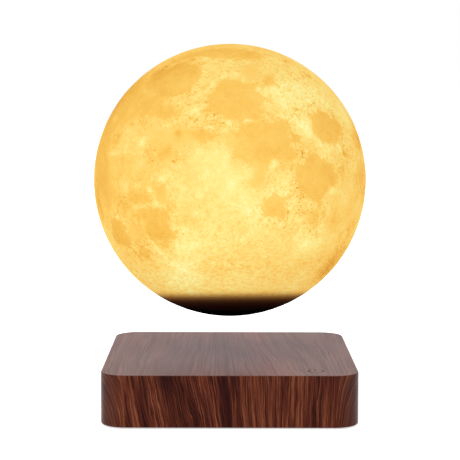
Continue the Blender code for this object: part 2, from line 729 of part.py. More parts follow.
def levitation_drive(frame):
    """The ring magnet, which holds the moon up, and the coils and sensors that keep it centred."""
    ring = tube_profile(RING_INNER, RING_OUTER, ON_BOARD, RING_TOP)
    add("ring_magnet", lathe("ring_magnet", ring), ferrite(), frame)

    hub_low, hub_high = BOBBIN_FLANGE, RING_HEIGHT - BOBBIN_FLANGE
    spool = [
        (BOBBIN_BORE_RADIUS, 0),
        (BOBBIN_RADIUS, 0),
        (BOBBIN_RADIUS, hub_low),
        (BOBBIN_HUB_RADIUS, hub_low),
        (BOBBIN_HUB_RADIUS, hub_high),
        (BOBBIN_RADIUS, hub_high),
        (BOBBIN_RADIUS, RING_HEIGHT),
        (BOBBIN_BORE_RADIUS, RING_HEIGHT),
    ]
    wound = tube_profile(
        BOBBIN_HUB_RADIUS + SEAT_GAP,
        BOBBIN_RADIUS - WINDING_INSET,
        hub_low + SEAT_GAP,
        hub_high - SEAT_GAP,
    )
    bobbin = lathe("bobbin", spool, MEDIUM_STEPS)
    winding = lathe("winding", wound, MEDIUM_STEPS)
    places, _ = around(COIL_PLACE_RADIUS, COIL_COUNT, ON_BOARD)
    for number, place in enumerate(places, 1):
        add(f"coil_bobbin_{number}", bobbin, black_plastic(), frame, place)
        add(f"coil_winding_{number}", winding, copper(), frame, place)

    post_top = ON_BOARD + RING_HEIGHT * HALL_POST_HEIGHT_SHARE
    post = disc_profile(HALL_POST_RADIUS, ON_BOARD, post_top)
    add("hall_post", lathe("hall_post", post, SMALL_STEPS), black_plastic(), frame)
    board_low = post_top + SEAT_GAP
    board_high = board_low + HALL_BOARD_THICK
    plate = disc_profile(HALL_BOARD_RADIUS, board_low, board_high)
    add("hall_board", lathe("hall_board", plate, MEDIUM_STEPS), circuit_board(), frame)
    sensor = block("hall_sensor", HALL_SENSOR_SIZE)
    for axis, (share_x, share_y) in HALL_SENSOR_SHARES.items():
        place = (share_x * HALL_BOARD_RADIUS, share_y * HALL_BOARD_RADIUS, board_high + SEAT_GAP)
        add(f"hall_sensor_{axis}", sensor, black_plastic(), frame, place)


def transmitter(frame):
    """The flat coil that powers the moon, in a carrier whose outer wall reaches the top's underside."""
    wall_top = CAVITY_TOP - SEAT_GAP
    lip_top = CARRIER_TOP + SEAT_GAP + CARRIER_LIP
    coil_low = CARRIER_TOP + SEAT_GAP
    wall_inner = TRANSMITTER_OUTER + SEAT_GAP
    lip_outer = TRANSMITTER_INNER - SEAT_GAP
    profile = [
        (CARRIER_HOLE_RADIUS, CARRIER_BOTTOM),
        (RING_OUTER, CARRIER_BOTTOM),
        (RING_OUTER, CARRIER_TOP),
        (wall_inner + CARRIER_WALL, CARRIER_TOP),
        (wall_inner + CARRIER_WALL, wall_top),
        (wall_inner, wall_top),
        (wall_inner, CARRIER_TOP),
        (lip_outer, CARRIER_TOP),
        (lip_outer, lip_top),
        (lip_outer - CARRIER_WALL, lip_top),
        (lip_outer - CARRIER_WALL, CARRIER_TOP),
        (CARRIER_HOLE_RADIUS, CARRIER_TOP),
    ]
    add("coil_carrier", lathe("coil_carrier", profile), black_plastic(), frame)
    ring = tube_profile(TRANSMITTER_INNER, TRANSMITTER_OUTER, coil_low, coil_low + TRANSMITTER_HEIGHT)
    add("transmitter_coil", lathe("transmitter_coil", ring), copper(), frame)


def power_socket(frame):
    """The barrel socket on the main board, behind the hole in the back wall."""
    size = (JACK_WIDTH, JACK_LENGTH, JACK_HEIGHT)
    place = (0, JACK_FACE_Y - JACK_LENGTH / 2, ON_BOARD)
    body = add("socket_body", block("socket_body", size), black_plastic(), frame, place)
    bore_profile = disc_profile(JACK_BORE_RADIUS, JACK_FACE_Y - JACK_BORE_DEPTH, JACK_FACE_Y + OVERRUN)
    bore = lathe("socket_bore", bore_profile, MEDIUM_STEPS)
    along_y = Matrix.Rotation(-math.pi / 2, 4, "X")
    to_axis = Matrix.Translation((0, 0, JACK_AXIS_Z))
    bore.transform(to_axis @ along_y)
    cut(body, "socket_bore", bore, frame)

    back = JACK_FACE_Y - JACK_BORE_DEPTH + SEAT_GAP
    tip = JACK_FACE_Y - JACK_PIN_RECESS
    nose = tip - JACK_PIN_RADIUS / 2
    pin = lathe(
        "socket_pin",
        [(0, back), (JACK_PIN_RADIUS, back), (JACK_PIN_RADIUS, nose), (JACK_PIN_RADIUS / 2, tip), (0, tip)],
        SMALL_STEPS,
    )
    pin.transform(along_y)
    add("socket_pin", pin, nickel(), frame, (0, 0, JACK_AXIS_Z))


def touch_sensor(frame):
    """A spring on the main board that presses a metal pad up under the engraved mark."""
    pad_high = CAVITY_TOP - SEAT_GAP
    pad_low = pad_high - TOUCH_PAD_THICK
    pad = lathe("touch_pad", disc_profile(TOUCH_PAD_RADIUS, pad_low, pad_high), MEDIUM_STEPS)
    add("touch_pad", pad, copper(), frame, (TOUCH_X, TOUCH_Y, 0))

    low = ON_BOARD + TOUCH_WIRE_RADIUS
    high = pad_low - SEAT_GAP - TOUCH_WIRE_RADIUS
    count = TOUCH_SPRING_TURNS * TOUCH_POINTS_PER_TURN
    points = []
    for index in range(count + 1):
        turn = math.tau * index / TOUCH_POINTS_PER_TURN
        height = low + (high - low) * index / count
        points.append((TOUCH_SPRING_RADIUS * math.cos(turn), TOUCH_SPRING_RADIUS * math.sin(turn), height))
    coil = wire("touch_spring", points, TOUCH_WIRE_RADIUS, 1)
    add("touch_spring", coil, steel(), frame, (TOUCH_X, TOUCH_Y, 0))


def wire(name, points, radius, resolution):
    """A closed round tube along the points."""
    curve = bpy.data.curves.new(name, "CURVE")
    curve.dimensions = "3D"
    curve.bevel_depth = radius
    curve.bevel_resolution = resolution
    curve.use_fill_caps = True
    line = curve.splines.new("POLY")
    line.points.add(len(points) - 1)
    for target, point in zip(line.points, points):
        target.co = (*point, 1)
    return curve


# The moon. Its pieces are placed from its centre.


def moon_shade(moon):
    mouth = math.asin(MOUTH_RADIUS / MOON_RADIUS)
    inner_mouth = math.asin(MOUTH_RADIUS / SHADE_INNER)
    profile = shell_profile((MOON_RADIUS, mouth), (SHADE_INNER, inner_mouth), GLOBE_RINGS)
    add("moon_shade", lathe("moon_shade", profile, GLOBE_STEPS), moon_plastic(), moon)


def bottom_cap(moon):
    """The cap in the mouth: a dish whose lip snaps into the shade and whose floor holds the magnet."""
    rim = math.asin(CAP_RADIUS / MOON_RADIUS)
    outside = arc(MOON_RADIUS, 0, rim, CAP_ARC_STEPS)
    profile = [
        (0, -MOON_RADIUS),
        *outside[1:],
        (CAP_RADIUS, RIDGE_BOTTOM),
        (RIDGE_RADIUS, RIDGE_BOTTOM),
        (RIDGE_RADIUS, RIDGE_BOTTOM + SNAP_RIDGE_HEIGHT),
        (CAP_RADIUS, RIDGE_BOTTOM + SNAP_RIDGE_HEIGHT + SNAP_RIDGE),
        (CAP_RADIUS, LIP_TOP),
        (LIP_INNER, LIP_TOP),
        (LIP_INNER, COIL_FLOOR),
        (MAGNET_POCKET, COIL_FLOOR),
        (MAGNET_POCKET, MAGNET_FLOOR_Z),
        (0, MAGNET_FLOOR_Z),
    ]
    cap = add("bottom_cap", lathe("bottom_cap", profile, GLOBE_STEPS), black_plastic(), moon)
    places, _ = around(CAP_BOSS_PLACE_RADIUS, CAP_BOSS_COUNT, first=math.pi / 2)
    column = disc_profile(CAP_BOSS_RADIUS, COIL_FLOOR - JOINING_OVERLAP, CAP_BOSS_TOP)
    boss = lathe("cap_boss", column, SMALL_STEPS)
    join(cap, "cap_bosses", copies("cap_bosses", boss, places), moon)
    pilot_low = ON_DECK - DECK_SCREW_LENGTH - SEAT_GAP
    pilot_profile = disc_profile(DECK_SCREW_RADIUS + SEAT_GAP, pilot_low, CAP_BOSS_TOP + OVERRUN)
    pilot = lathe("cap_pilot", pilot_profile, SMALL_STEPS)
    cut(cap, "cap_pilots", copies("cap_pilots", pilot, places), moon)


def floating_magnet(core):
    magnet = disc_profile(MAGNET_RADIUS, MAGNET_BOTTOM, MAGNET_TOP)
    add("levitation_magnet", lathe("levitation_magnet", magnet), nickel(), core)
    plate = disc_profile(MAGNET_RADIUS, BACK_PLATE_BOTTOM, BACK_PLATE_TOP)
    add("magnet_back_plate", lathe("magnet_back_plate", plate), steel(), core)


def receiver(moon):
    """The coil, the deck and the board that turn the base's field into the LEDs' current."""
    coil_low = COIL_FLOOR + SEAT_GAP
    ring = tube_profile(RECEIVER_INNER, RECEIVER_OUTER, coil_low, coil_low + RECEIVER_HEIGHT)
    add("receiver_coil", lathe("receiver_coil", ring), copper(), moon)

    plate = tube_profile(DECK_HOLE_RADIUS, LIP_INNER - SEAT_GAP, DECK_BOTTOM, DECK_TOP)
    deck = add("receiver_deck", lathe("receiver_deck", plate), white_plastic(), moon)
    places, _ = around(CAP_BOSS_PLACE_RADIUS, CAP_BOSS_COUNT, first=math.pi / 2)
    hole_low, hole_high = DECK_BOTTOM - OVERRUN, DECK_TOP + OVERRUN
    hole_profile = disc_profile(DECK_SCREW_RADIUS + SEAT_GAP, hole_low, hole_high)
    hole = lathe("deck_hole", hole_profile, SMALL_STEPS)
    cut(deck, "deck_holes", copies("deck_holes", hole, places), moon)
    screw = pan_screw(
        "deck_screw",
        DECK_SCREW_RADIUS,
        DECK_SCREW_LENGTH,
        DECK_SCREW_HEAD_RADIUS,
        DECK_SCREW_HEAD_HEIGHT,
    )
    for number, (x, y, _) in enumerate(places, 1):
        add(f"deck_screw_{number}", screw, steel(), moon, (x, y, ON_DECK))

    board = tube_profile(POST_FOOT_RADIUS + SEAT_GAP, RECEIVER_BOARD_RADIUS, ON_DECK, RECEIVER_BOARD_TOP)
    add("receiver_board", lathe("receiver_board", board), circuit_board(), moon)
    chip = block("rectifier_chip", RECTIFIER_SIZE)
    from_middle = RECEIVER_BOARD_RADIUS * BOARD_PLACE_SHARE
    add("rectifier_chip", chip, black_plastic(), moon, (-from_middle, 0, ON_RECEIVER_BOARD))
    store = can("storage_capacitor", STORE_RADIUS, STORE_HEIGHT)
    add("storage_capacitor", store, nickel(), moon, (0, from_middle, ON_RECEIVER_BOARD))


def light_post(moon):
    """A tube on the deck whose top flange carries the LED board and the diffuser."""
    profile = [
        (POST_BORE, ON_DECK),
        (POST_FOOT_RADIUS, ON_DECK),
        (POST_FOOT_RADIUS, ON_DECK + POST_FLANGE_THICK),
        (POST_RADIUS, ON_DECK + POST_FLANGE_THICK),
        (POST_RADIUS, POST_TOP - POST_FLANGE_THICK),
        (DIFFUSER_RADIUS, POST_TOP - POST_FLANGE_THICK),
        (DIFFUSER_RADIUS, POST_TOP),
        (POST_BORE, POST_TOP),
    ]
    post = add("light_post", lathe("light_post", profile), white_plastic(), moon)
    slot_low = ON_DECK + POST_FLANGE_THICK + OVERRUN
    slot = block("lead_slot", (POST_RADIUS + OVERRUN, POST_SLOT_WIDTH, POST_SLOT_HEIGHT), slot_low)
    slot.transform(Matrix.Translation(((POST_RADIUS + OVERRUN) / 2, 0, 0)))
    cut(post, "lead_slot", slot, moon)


def led_lamp(moon):
    board = disc_profile(LED_BOARD_RADIUS, LED_BOARD_BOTTOM, LED_BOARD_TOP)
    add("led_board", lathe("led_board", board), white_plastic(), moon)
    chip = block("led", LED_SIZE)
    places, turns = around(LED_PLACE_RADIUS, LED_COUNT, LED_BOARD_TOP + SEAT_GAP)
    for number, (place, turn) in enumerate(zip(places, turns), 1):
        add(f"led_{number}", chip, lit_phosphor(), moon, place, turn)

    seat = POST_TOP + SEAT_GAP
    inner = DIFFUSER_RADIUS - DIFFUSER_WALL
    dome = shell_profile((DIFFUSER_RADIUS, math.pi / 2), (inner, math.pi / 2), DIFFUSER_ARC_STEPS)
    profile = [(across, height + seat) for across, height in dome]
    add("led_diffuser", lathe("led_diffuser", profile), frosted(), moon)


def led_lead(moon):
    """A twin lead that leaves the receiver board, bends in through the post's slot and climbs its bore."""
    start = Vector((LEAD_START_X, 0, ON_RECEIVER_BOARD))
    slot_middle = ON_DECK + POST_FLANGE_THICK + OVERRUN + POST_SLOT_HEIGHT / 2
    end = Vector((0, 0, POST_TOP - SEAT_GAP))
    route = [
        start,
        start + Vector((0, 0, LEAD_STRAIGHT)),
        Vector((POST_RADIUS, 0, slot_middle)),
        Vector((0, 0, slot_middle + POST_SLOT_HEIGHT)),
        end,
    ]
    add("led_lead", wire("led_lead", smooth_route(route, LEAD_POINTS), LEAD_RADIUS, 2), rubber(), moon)


def smooth_route(points, count):
    """Points on one smooth curve through the given ones, with a straight start and end."""
    first = points[0] * 2 - points[1]
    last = points[-1] * 2 - points[-2]
    padded = [first, *points, last]
    spans = len(points) - 1
    found = []
    for index in range(count + 1):
        along = spans * index / count
        span = min(int(along), spans - 1)
        share = along - span
        before, start, end, after = padded[span : span + 4]
        found.append(
            0.5
            * (
                2 * start
                + (end - before) * share
                + (2 * before - 5 * start + 4 * end - after) * share**2
                + (3 * start - before - 3 * end + after) * share**3
            )
        )
    return found


def main():
    clear_scene()
    frame = add("base_frame", None)
    core = add("float_core_frame", None, at=(0, 0, MOON_CENTRE))
    moon = add("moon_frame", None, parent=core)

    base_housing(frame)
    bottom_cover(frame)
    main_board(frame)
    levitation_drive(frame)
    transmitter(frame)
    power_socket(frame)
    touch_sensor(frame)

    floating_magnet(core)
    moon_shade(moon)
    bottom_cap(moon)
    receiver(moon)
    light_post(moon)
    led_lamp(moon)
    led_lead(moon)


main()
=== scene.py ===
import math

import bpy
import numpy as np
from mathutils import Matrix, Vector


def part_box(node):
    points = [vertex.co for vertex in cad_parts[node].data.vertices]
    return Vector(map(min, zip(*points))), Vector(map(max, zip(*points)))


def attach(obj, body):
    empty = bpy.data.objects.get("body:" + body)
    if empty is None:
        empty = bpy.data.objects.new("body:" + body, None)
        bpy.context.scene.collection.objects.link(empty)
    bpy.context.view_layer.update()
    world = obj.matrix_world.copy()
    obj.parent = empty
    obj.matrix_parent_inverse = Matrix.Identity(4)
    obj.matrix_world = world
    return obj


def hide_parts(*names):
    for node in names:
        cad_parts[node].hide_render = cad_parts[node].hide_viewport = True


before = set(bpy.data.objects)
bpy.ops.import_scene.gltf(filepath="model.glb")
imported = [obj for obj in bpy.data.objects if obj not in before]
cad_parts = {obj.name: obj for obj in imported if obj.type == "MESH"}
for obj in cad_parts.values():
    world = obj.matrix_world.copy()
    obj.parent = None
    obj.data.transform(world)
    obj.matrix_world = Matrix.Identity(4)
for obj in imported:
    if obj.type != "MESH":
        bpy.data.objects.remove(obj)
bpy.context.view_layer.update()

# Sizes in metres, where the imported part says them
housing_low, housing_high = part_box("base_housing")
HALF_BASE = housing_high.x
BASE_TOP = housing_high.z
BASE_BOTTOM = housing_low.z
_, shade_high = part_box("moon_shade")
MOON_RADIUS = shade_high.x
MOON_CENTRE = shade_high.z - MOON_RADIUS
MM = 0.001

# The housing
BASE_CORNER = 0.016
EDGE = 0.0008
EDGE_STEPS = 6
CORNER_STEPS = 24
SMALL_STEPS = 12
HALF_CAVITY = 0.076
CAVITY_CORNER = 0.011
CAVITY_TOP = 0.031
HALF_REBATE = 0.078
REBATE_TOP = 0.0038
BOSS_PLACE = 0.07
BOSS_RADIUS = 0.005
PILOT_RADIUS = 0.0018
PILOT_TOP = 0.0115
SOCKET_HEIGHT = 0.0152
SOCKET_HOLE = 0.0055
MARK_PLACE = (0.054, -0.0662)
MARK_RADIUS = 0.0048
MARK_LINE = 0.0007
MARK_DEPTH = 0.0004
MARK_GAP = math.radians(72)
MARK_BAR = 0.0042
MARK_STEPS = 64
ROUND_STEPS = 48
OVERRUN = 0.002
HOUSING_SHARP = math.radians(30)
SQUARE = ((-1, -1), (1, -1), (1, 1), (-1, 1))

# The shade
MOUTH_RADIUS = 0.038
SHADE_WALL = 0.0016
GLOBE_SEGMENTS = 480
OUTER_RINGS = 206
INNER_RINGS = 24
RELIEF_SINK = 0.00012
RIM_FADE = 0.004
MOUTH_SHARP = math.radians(60)


def link(obj):
    bpy.context.scene.collection.objects.link(obj)
    return obj


def mesh_object(name, points, faces):
    mesh = bpy.data.meshes.new(name)
    mesh.from_pydata([tuple(p) for p in points], [], faces)
    mesh.update()
    return link(bpy.data.objects.new(name, mesh))


def dress(obj, material, body, slot, *nodes):
    obj.data.materials.clear()
    obj.data.materials.append(material)
    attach(obj, body)
    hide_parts(*nodes)


# Rounded squares, slabs and cylinders


def rounded_square(half, corner, steps=CORNER_STEPS):
    points = []
    for quarter in range(4):
        x = (half - corner) * (1 if quarter in (0, 3) else -1)
        y = (half - corner) * (1 if quarter in (0, 1) else -1)
        for step in range(steps + 1):
            turn = math.pi / 2 * (quarter + step / steps)
            points.append((x + corner * math.cos(turn), y + corner * math.sin(turn)))
    return points


def loft(name, levels):
    """A closed solid through outlines of the same count, each given with its height."""
    count = len(levels[0][0])
    points = [(x, y, z) for outline, z in levels for x, y in outline]
    faces = [list(reversed(range(count)))]
    for level in range(len(levels) - 1):
        low, high = level * count, (level + 1) * count
        for i in range(count):
            j = (i + 1) % count
            faces.append([low + i, low + j, high + j, high + i])
    top = (len(levels) - 1) * count
    faces.append([top + i for i in range(count)])
    return mesh_object(name, points, faces)


def cylinder(name, radius, low, high, place=(0, 0), steps=ROUND_STEPS):
    turns = [math.tau * i / steps for i in range(steps)]
    outline = [(place[0] + radius * math.cos(t), place[1] + radius * math.sin(t)) for t in turns]
    return loft(name, [(outline, low), (outline, high)])


def combine(obj, tool, operation):
    """Applies one exact boolean and removes the tool."""
    change = obj.modifiers.new("change", "BOOLEAN")
    change.operation = operation
    change.solver = "EXACT"
    change.object = tool
    mesh = bpy.data.meshes.new_from_object(obj.evaluated_get(bpy.context.evaluated_depsgraph_get()))
    obj.modifiers.clear()
    obj.data = mesh
    bpy.data.objects.remove(tool)


def cut(body, name, outline, low, high):
    """Takes a straight-walled slab out of the body."""
    combine(body, loft(name, [(outline, low), (outline, high)]), "DIFFERENCE")


# Noise for the moon's shape and map

NOISE_GAIN = 1.6
LAYER_SHIFT = 17.3


def gradient_noise(points, order, slopes):
    """Noise from -1 to 1 or so, by slopes at whole-numbered places."""
    cell = np.floor(points).astype(int)
    inside = points - cell
    fade = inside**3 * (inside * (inside * 6 - 15) + 10)
    total = np.zeros(len(points))
    for corner in np.ndindex(2, 2, 2):
        index = 0
        for axis in (cell + corner).T:
            index = order[(index + axis) & 255]
        share = np.where(np.array(corner) == 1, fade, 1 - fade).prod(1)
        total += share * ((inside - corner) * slopes[index]).sum(1)
    return total * NOISE_GAIN


def layered_noise(points, seed, scale, layers, keep):
    """Layers of noise, each half as wide as the one before it and weaker."""
    draw = np.random.default_rng(seed)
    order = draw.permutation(256)
    slopes = draw.normal(size=(256, 3))
    slopes /= np.linalg.norm(slopes, axis=1)[:, None]
    total, size = np.zeros(len(points)), 1
    for layer in range(layers):
        total += size * gradient_noise(points * scale * 2**layer + LAYER_SHIFT * layer, order, slopes)
        size *= keep
    return total


def smooth(value, low, high):
    share = np.clip((value - low) / (high - low), 0, 1)
    return share * share * (3 - 2 * share)


def bell(value, width):
    return np.exp(-((value / width) ** 2))


# The moon's map: longitudes to the east and latitudes to the north, in degrees

MAP_FRONT_LON = 16.3
MAP_FRONT_LAT = -10.2
MAP_ROLL = -0.9

# tone, softness of the edge in mm, and the outline's longitudes and latitudes by turns in half degrees
SEAS = {
    "serenity": (0.38, 0.35, [
        26, 75, 32, 76, 36, 74, 42, 74, 46, 71, 52, 73, 60, 73, 59, 67, 57, 63, 61, 61, 63, 57, 63, 53,
        60, 49, 60, 44, 59, 37, 50, 36, 41, 35, 35, 35, 28, 37, 27, 40, 19, 42, 14, 44, 14, 50, 14, 55,
        14, 62, 18, 64, 22, 70]),
    "tranquillity": (0.38, 0.4, [
        44, 33, 51, 34, 60, 35, 66, 34, 72, 35, 78, 36, 83, 36, 81, 32, 81, 27, 82, 24, 83, 19, 82, 14,
        85, 11, 88, 10, 87, 5, 81, 2, 74, 3, 66, 3, 65, -2, 61, -4, 52, 0, 47, -2, 41, 2, 35, 4, 34, 10,
        35, 16, 35, 22, 36, 26, 41, 26, 41, 31]),
    "roughness": (0.5, 0.9, [
        48, 4, 62, 4, 60, -9, 60, -14, 61, -18, 56, -18, 50, -18, 47, -14, 51, -10, 51, -4]),
    "love": (0.28, 0.3, [84, 26, 88, 24, 93, 21, 90, 18, 86, 18, 83, 19]),
    "sleep": (0.47, 0.4, [91, 17, 97, 17, 102, 15, 96, 13, 90, 12]),
    "nectar": (0.34, 0.4, [
        60, -27, 58, -40, 64, -41, 68, -41, 74, -40, 75, -43, 79, -43, 78, -34, 79, -30, 82, -26, 74, -25,
        71, -22, 66, -22, 64, -26]),
    "crises": (0.32, 0.3, [
        107, 44, 115, 46, 121, 48, 130, 48, 130, 44, 133, 42, 140, 43, 144, 40, 145, 36, 144, 32, 139, 28,
        135, 23, 126, 20, 118, 19, 112, 20, 110, 23, 107, 27, 105, 31, 107, 37, 105, 40]),
    "fertility": (0.32, 0.4, [
        99, 10, 103, 11, 108, 8, 112, 6, 116, 4, 122, 3, 126, 1, 125, -3, 130, -7, 129, -13, 122, -17,
        118, -21, 113, -26, 114, -31, 111, -34, 108, -29, 104, -28, 97, -25, 93, -21, 91, -17, 88, -14,
        86, -11, 85, -8, 87, -3, 93, 1, 96, 5]),
    "fertile foot": (0.44, 0.4, [105, -35, 110, -36, 113, -45, 109, -45]),
    "rains": (0.3, 0.8, [
        -68, 85, -71, 91, -63, 95, -46, 94, -40, 98, -35, 103, -26, 104, -15, 99, -6, 97, -1, 92, 2, 86,
        4, 80, 2, 75, -3, 71, -3, 64, -9, 62, -15, 60, -22, 58, -33, 60, -49, 67, -63, 73, -70, 80]),
    "rainy shore": (0.33, 1.4, [
        -74, 71, -58, 70, -34, 61, -20, 58, -19, 52, -13, 47, -7, 45, -12, 40, -23, 39, -38, 42, -52, 42,
        -70, 46, -79, 59]),
    "storms": (0.35, 5, [
        -60, 60, -48, 44, -68, 40, -82, 38, -86, 32, -88, 22, -84, 8, -84, -4, -76, -20, -92, -28,
        -104, -12, -114, 0, -124, 16, -136, 32, -132, 56, -120, 76, -104, 96, -72, 88]),
    "islands": (0.53, 3, [
        -38, 34, -22, 30, -8, 30, 0, 28, 6, 22, 0, 16, -8, 18, -16, 14, -12, 10, -18, 2, -26, 8, -32, 16,
        -36, 26]),
    "heat": (0.4, 0.9, [
        -16, 28, -8, 29, 5, 27, 16, 28, 19, 22, 16, 19, 8, 19, 1, 21, -5, 21, -10, 20, -18, 22]),
    "bay": (0.32, 0.7, [-23, 15, -17, 16, -14, 13, -15, 8, -21, 7, -24, 11]),
    "vapours": (0.47, 1, [28, 22, 35, 26, 35, 18, 34, 10, 29, 12, 28, 18]),
    "known": (0.34, 0.4, [
        -56, -16, -48, -17, -40, -18, -36, -22, -35, -26, -40, -28, -48, -27, -56, -26, -59, -22]),
    "ridge": (0.41, 0.8, [
        -28, -15, -22, -16, -20, -20, -20, -25, -16, -27, -19, -29, -26, -28, -30, -24, -28, -20]),
    "clouds": (0.32, 0.5, [
        -51, -32, -42, -31, -36, -30, -31, -32, -25, -33, -20, -33, -15, -29, -14, -32, -16, -35, -20, -38,
        -22, -43, -22, -49, -19, -51, -15, -52, -18, -58, -23, -60, -32, -59, -41, -59, -47, -58, -52, -51,
        -55, -45, -54, -37]),
    "under the clouds": (0.34, 0.4, [-46, -59, -35, -60, -27, -61, -30, -65, -39, -64, -45, -62]),
    "land between": (0.43, 1, [-68, -44, -54, -45, -50, -54, -59, -60, -73, -59, -74, -50]),
    "moisture": (0.28, 0.4, [
        -93, -37, -81, -38, -74, -40, -72, -45, -73, -49, -70, -54, -73, -60, -86, -62, -97, -59, -104, -55,
        -103, -49, -99, -43]),
    "epidemics": (0.34, 0.4, [
        -64, -60, -59, -61, -55, -65, -52, -69, -58, -74, -65, -74, -70, -71, -69, -66]),
    "cold": (0.34, 1.2, [
        -57, 106, -47, 114, -33, 122, -8, 126, 29, 129, 65, 124, 83, 118, 83, 110, 73, 104, 56, 104,
        33, 104, 12, 107, -8, 112, -29, 109, -39, 104]),
    "dreams": (0.37, 0.5, [67, 75, 74, 82, 81, 80, 77, 73, 84, 71, 83, 67, 76, 70, 69, 68, 65, 68]),
    "death": (0.46, 0.9, [49, 92, 60, 96, 72, 100, 65, 84, 61, 74, 52, 76, 47, 81]),
    "muscovy": (0.36, 0.5, [284, 54, 292, 62, 302, 60, 306, 52, 298, 46, 288, 48]),
    "ingenuity": (0.38, 0.6, [318, -64, 328, -60, 336, -66, 330, -74, 320, -72]),
    "edge": (0.37, 0.8, [164, 8, 176, 12, 184, 4, 180, -8, 170, -10, 162, -2]),
    "margin": (0.34, 1, [160, 30, 172, 36, 186, 28, 178, 18, 164, 20]),
    "east": (0.34, 0.6, [-200, -34, -192, -28, -182, -32, -180, -42, -188, -48, -198, -44]),
    "south": (0.37, 1.4, [168, -68, 184, -60, 200, -72, 208, -92, 188, -104, 168, -92, 160, -80]),
}

# longitude, latitude, radius in degrees, how much lighter
# the dark spots at (94, 18), (102, -4) and (85, -6) paint the shade along the moon's right limb
SPOTS = [
    (10, 0, 12, 0.16), (14, -11, 12, 0.23), (40, 31, 10, 0.33), (48, 14, 4, 0.12), (20, -30, 16, 0.15),
    (-14, -42, 10, 0.14), (2, 24, 5, 0.19), (-3, 29, 4, -0.14), (-12, -5, 6, 0.1), (54, -31, 8, 0.18),
    (-22, 22, 6, 0.2), (-10, 6, 2.4, -0.31), (-4, 12, 2.6, -0.2), (94, 18, 8, -0.34), (87, -36, 9, -0.1),
    (60, 32, 9, 0.26), (72, 26, 6, 0.05), (67, 10, 4, 0.08), (22, -3, 4, 0.07), (27, -16, 4, 0.29),
    (38, -10, 5, 0.28), (-4, -32, 8, 0.25), (62, -31, 6, 0.16), (-17, -50, 7, 0.19), (4, 41, 5, 0.13),
    (20, 47, 7, 0.08), (-16, 5, 6, -0.17), (-13, -8, 5, -0.42), (-32, -14, 6, -0.26), (-29, 0, 7, -0.08),
    (-2, 2, 4, -0.14), (4, -12, 7, -0.08), (13, -17, 5, -0.15), (64, -19, 5, 0.21), (86, -24, 8, -0.2),
    (-30, -27, 4, -0.09), (-27, 47, 7, -0.13), (-5, 34, 6, 0.22), (-14, -28, 5, -0.11), (102, -4, 9, -0.4),
    (-76, -10, 14, 0.07), (26, -13, 4, -0.06), (3, -22, 5, -0.08), (82, 24, 7, 0.19), (77, -12, 4, -0.18),
    (45, -3, 4, 0.15), (0, 50, 6, 0.08), (-37, 14, 4, -0.17), (-35, 0, 5, -0.15), (-15, -1, 4, -0.1),
    (-60, -10, 10, -0.28), (-23, 20, 4, -0.29), (6, 26, 4, -0.11), (6, 11, 5, -0.19), (19, 0, 3, -0.17),
    (12, -9, 4, -0.18), (18, -25, 4, -0.12), (35, 37, 4, -0.25), (36, 22, 3, -0.11), (45, -10, 3, -0.23),
    (54, -20, 3, 0.26), (66, -20, 5, -0.43), (85, -6, 6, -0.19), (40, -15, 3, 0.21), (50, 18, 4, 0.27),
    (59, 5, 4, 0.09), (51, -15, 3, 0.08), (-23, -3, 3, -0.16), (-10, -9, 6, 0.27), (85, -44, 7, -0.32),
    (60, 54, 2.5, -0.13), (54, -21, 3, -0.54), (-17, -11, 3, -0.06), (50, -3, 9, 0.05), (-54, 0, 16, -0.17),
    (-60, 35, 16, -0.39), (-35, 60, 14, -0.14), (20, 75, 16, -0.16), (-169, -53, 30, -0.16),
    (-150, 20, 26, 0.06), (120, 10, 24, -0.07), (129, -20, 3, -0.3), (-152, -36, 6, -0.12),
    (175, 0, 20, 0.05), (-29.5, 16, 1.4, 0.06), (-10.5, -4.5, 1.8, 0.15), (-20.5, 2, 1.4, 0.14),
    (3.5, 5, 1.5, 0.19), (2, -19, 1.5, 0.22), (-17.5, -8.5, 1.4, 0.18), (-31.5, -7.5, 1.6, 0.16),
    (-24.5, -21.5, 1.4, 0.41), (-26.5, -14.5, 1.6, 0.2), (-41, -14.5, 1.3, 0.07), (24, 15.5, 1.2, -0.1),
    (41, 20, 1.6, -0.16), (33.5, 0, 1.6, 0.36), (22.5, -27, 3, -0.11), (53, -33.5, 2.5, -0.07),
    (-13, 27, 1.5, 0.4), (18, 51, 1.3, 0.21), (0.5, 53, 1.4, 0.13), (2, 23, 1.6, 0.06),
    (8.5, 35.5, 1.6, 0.12), (63.5, -9, 2.2, 0.13), (70, 6.5, 1.3, -0.48), (74.5, 5.5, 1.3, -0.16),
    (68, 0, 1.3, -0.25), (68, 43.5, 1.4, -0.27), (-8.5, 53, 1.4, -0.45), (59, -18.5, 1.2, -0.36),
    (-4.5, 13, 1.4, -0.33), (45.5, 23.5, 1.2, -0.34), (30.5, 21.5, 1.1, -0.24),
]

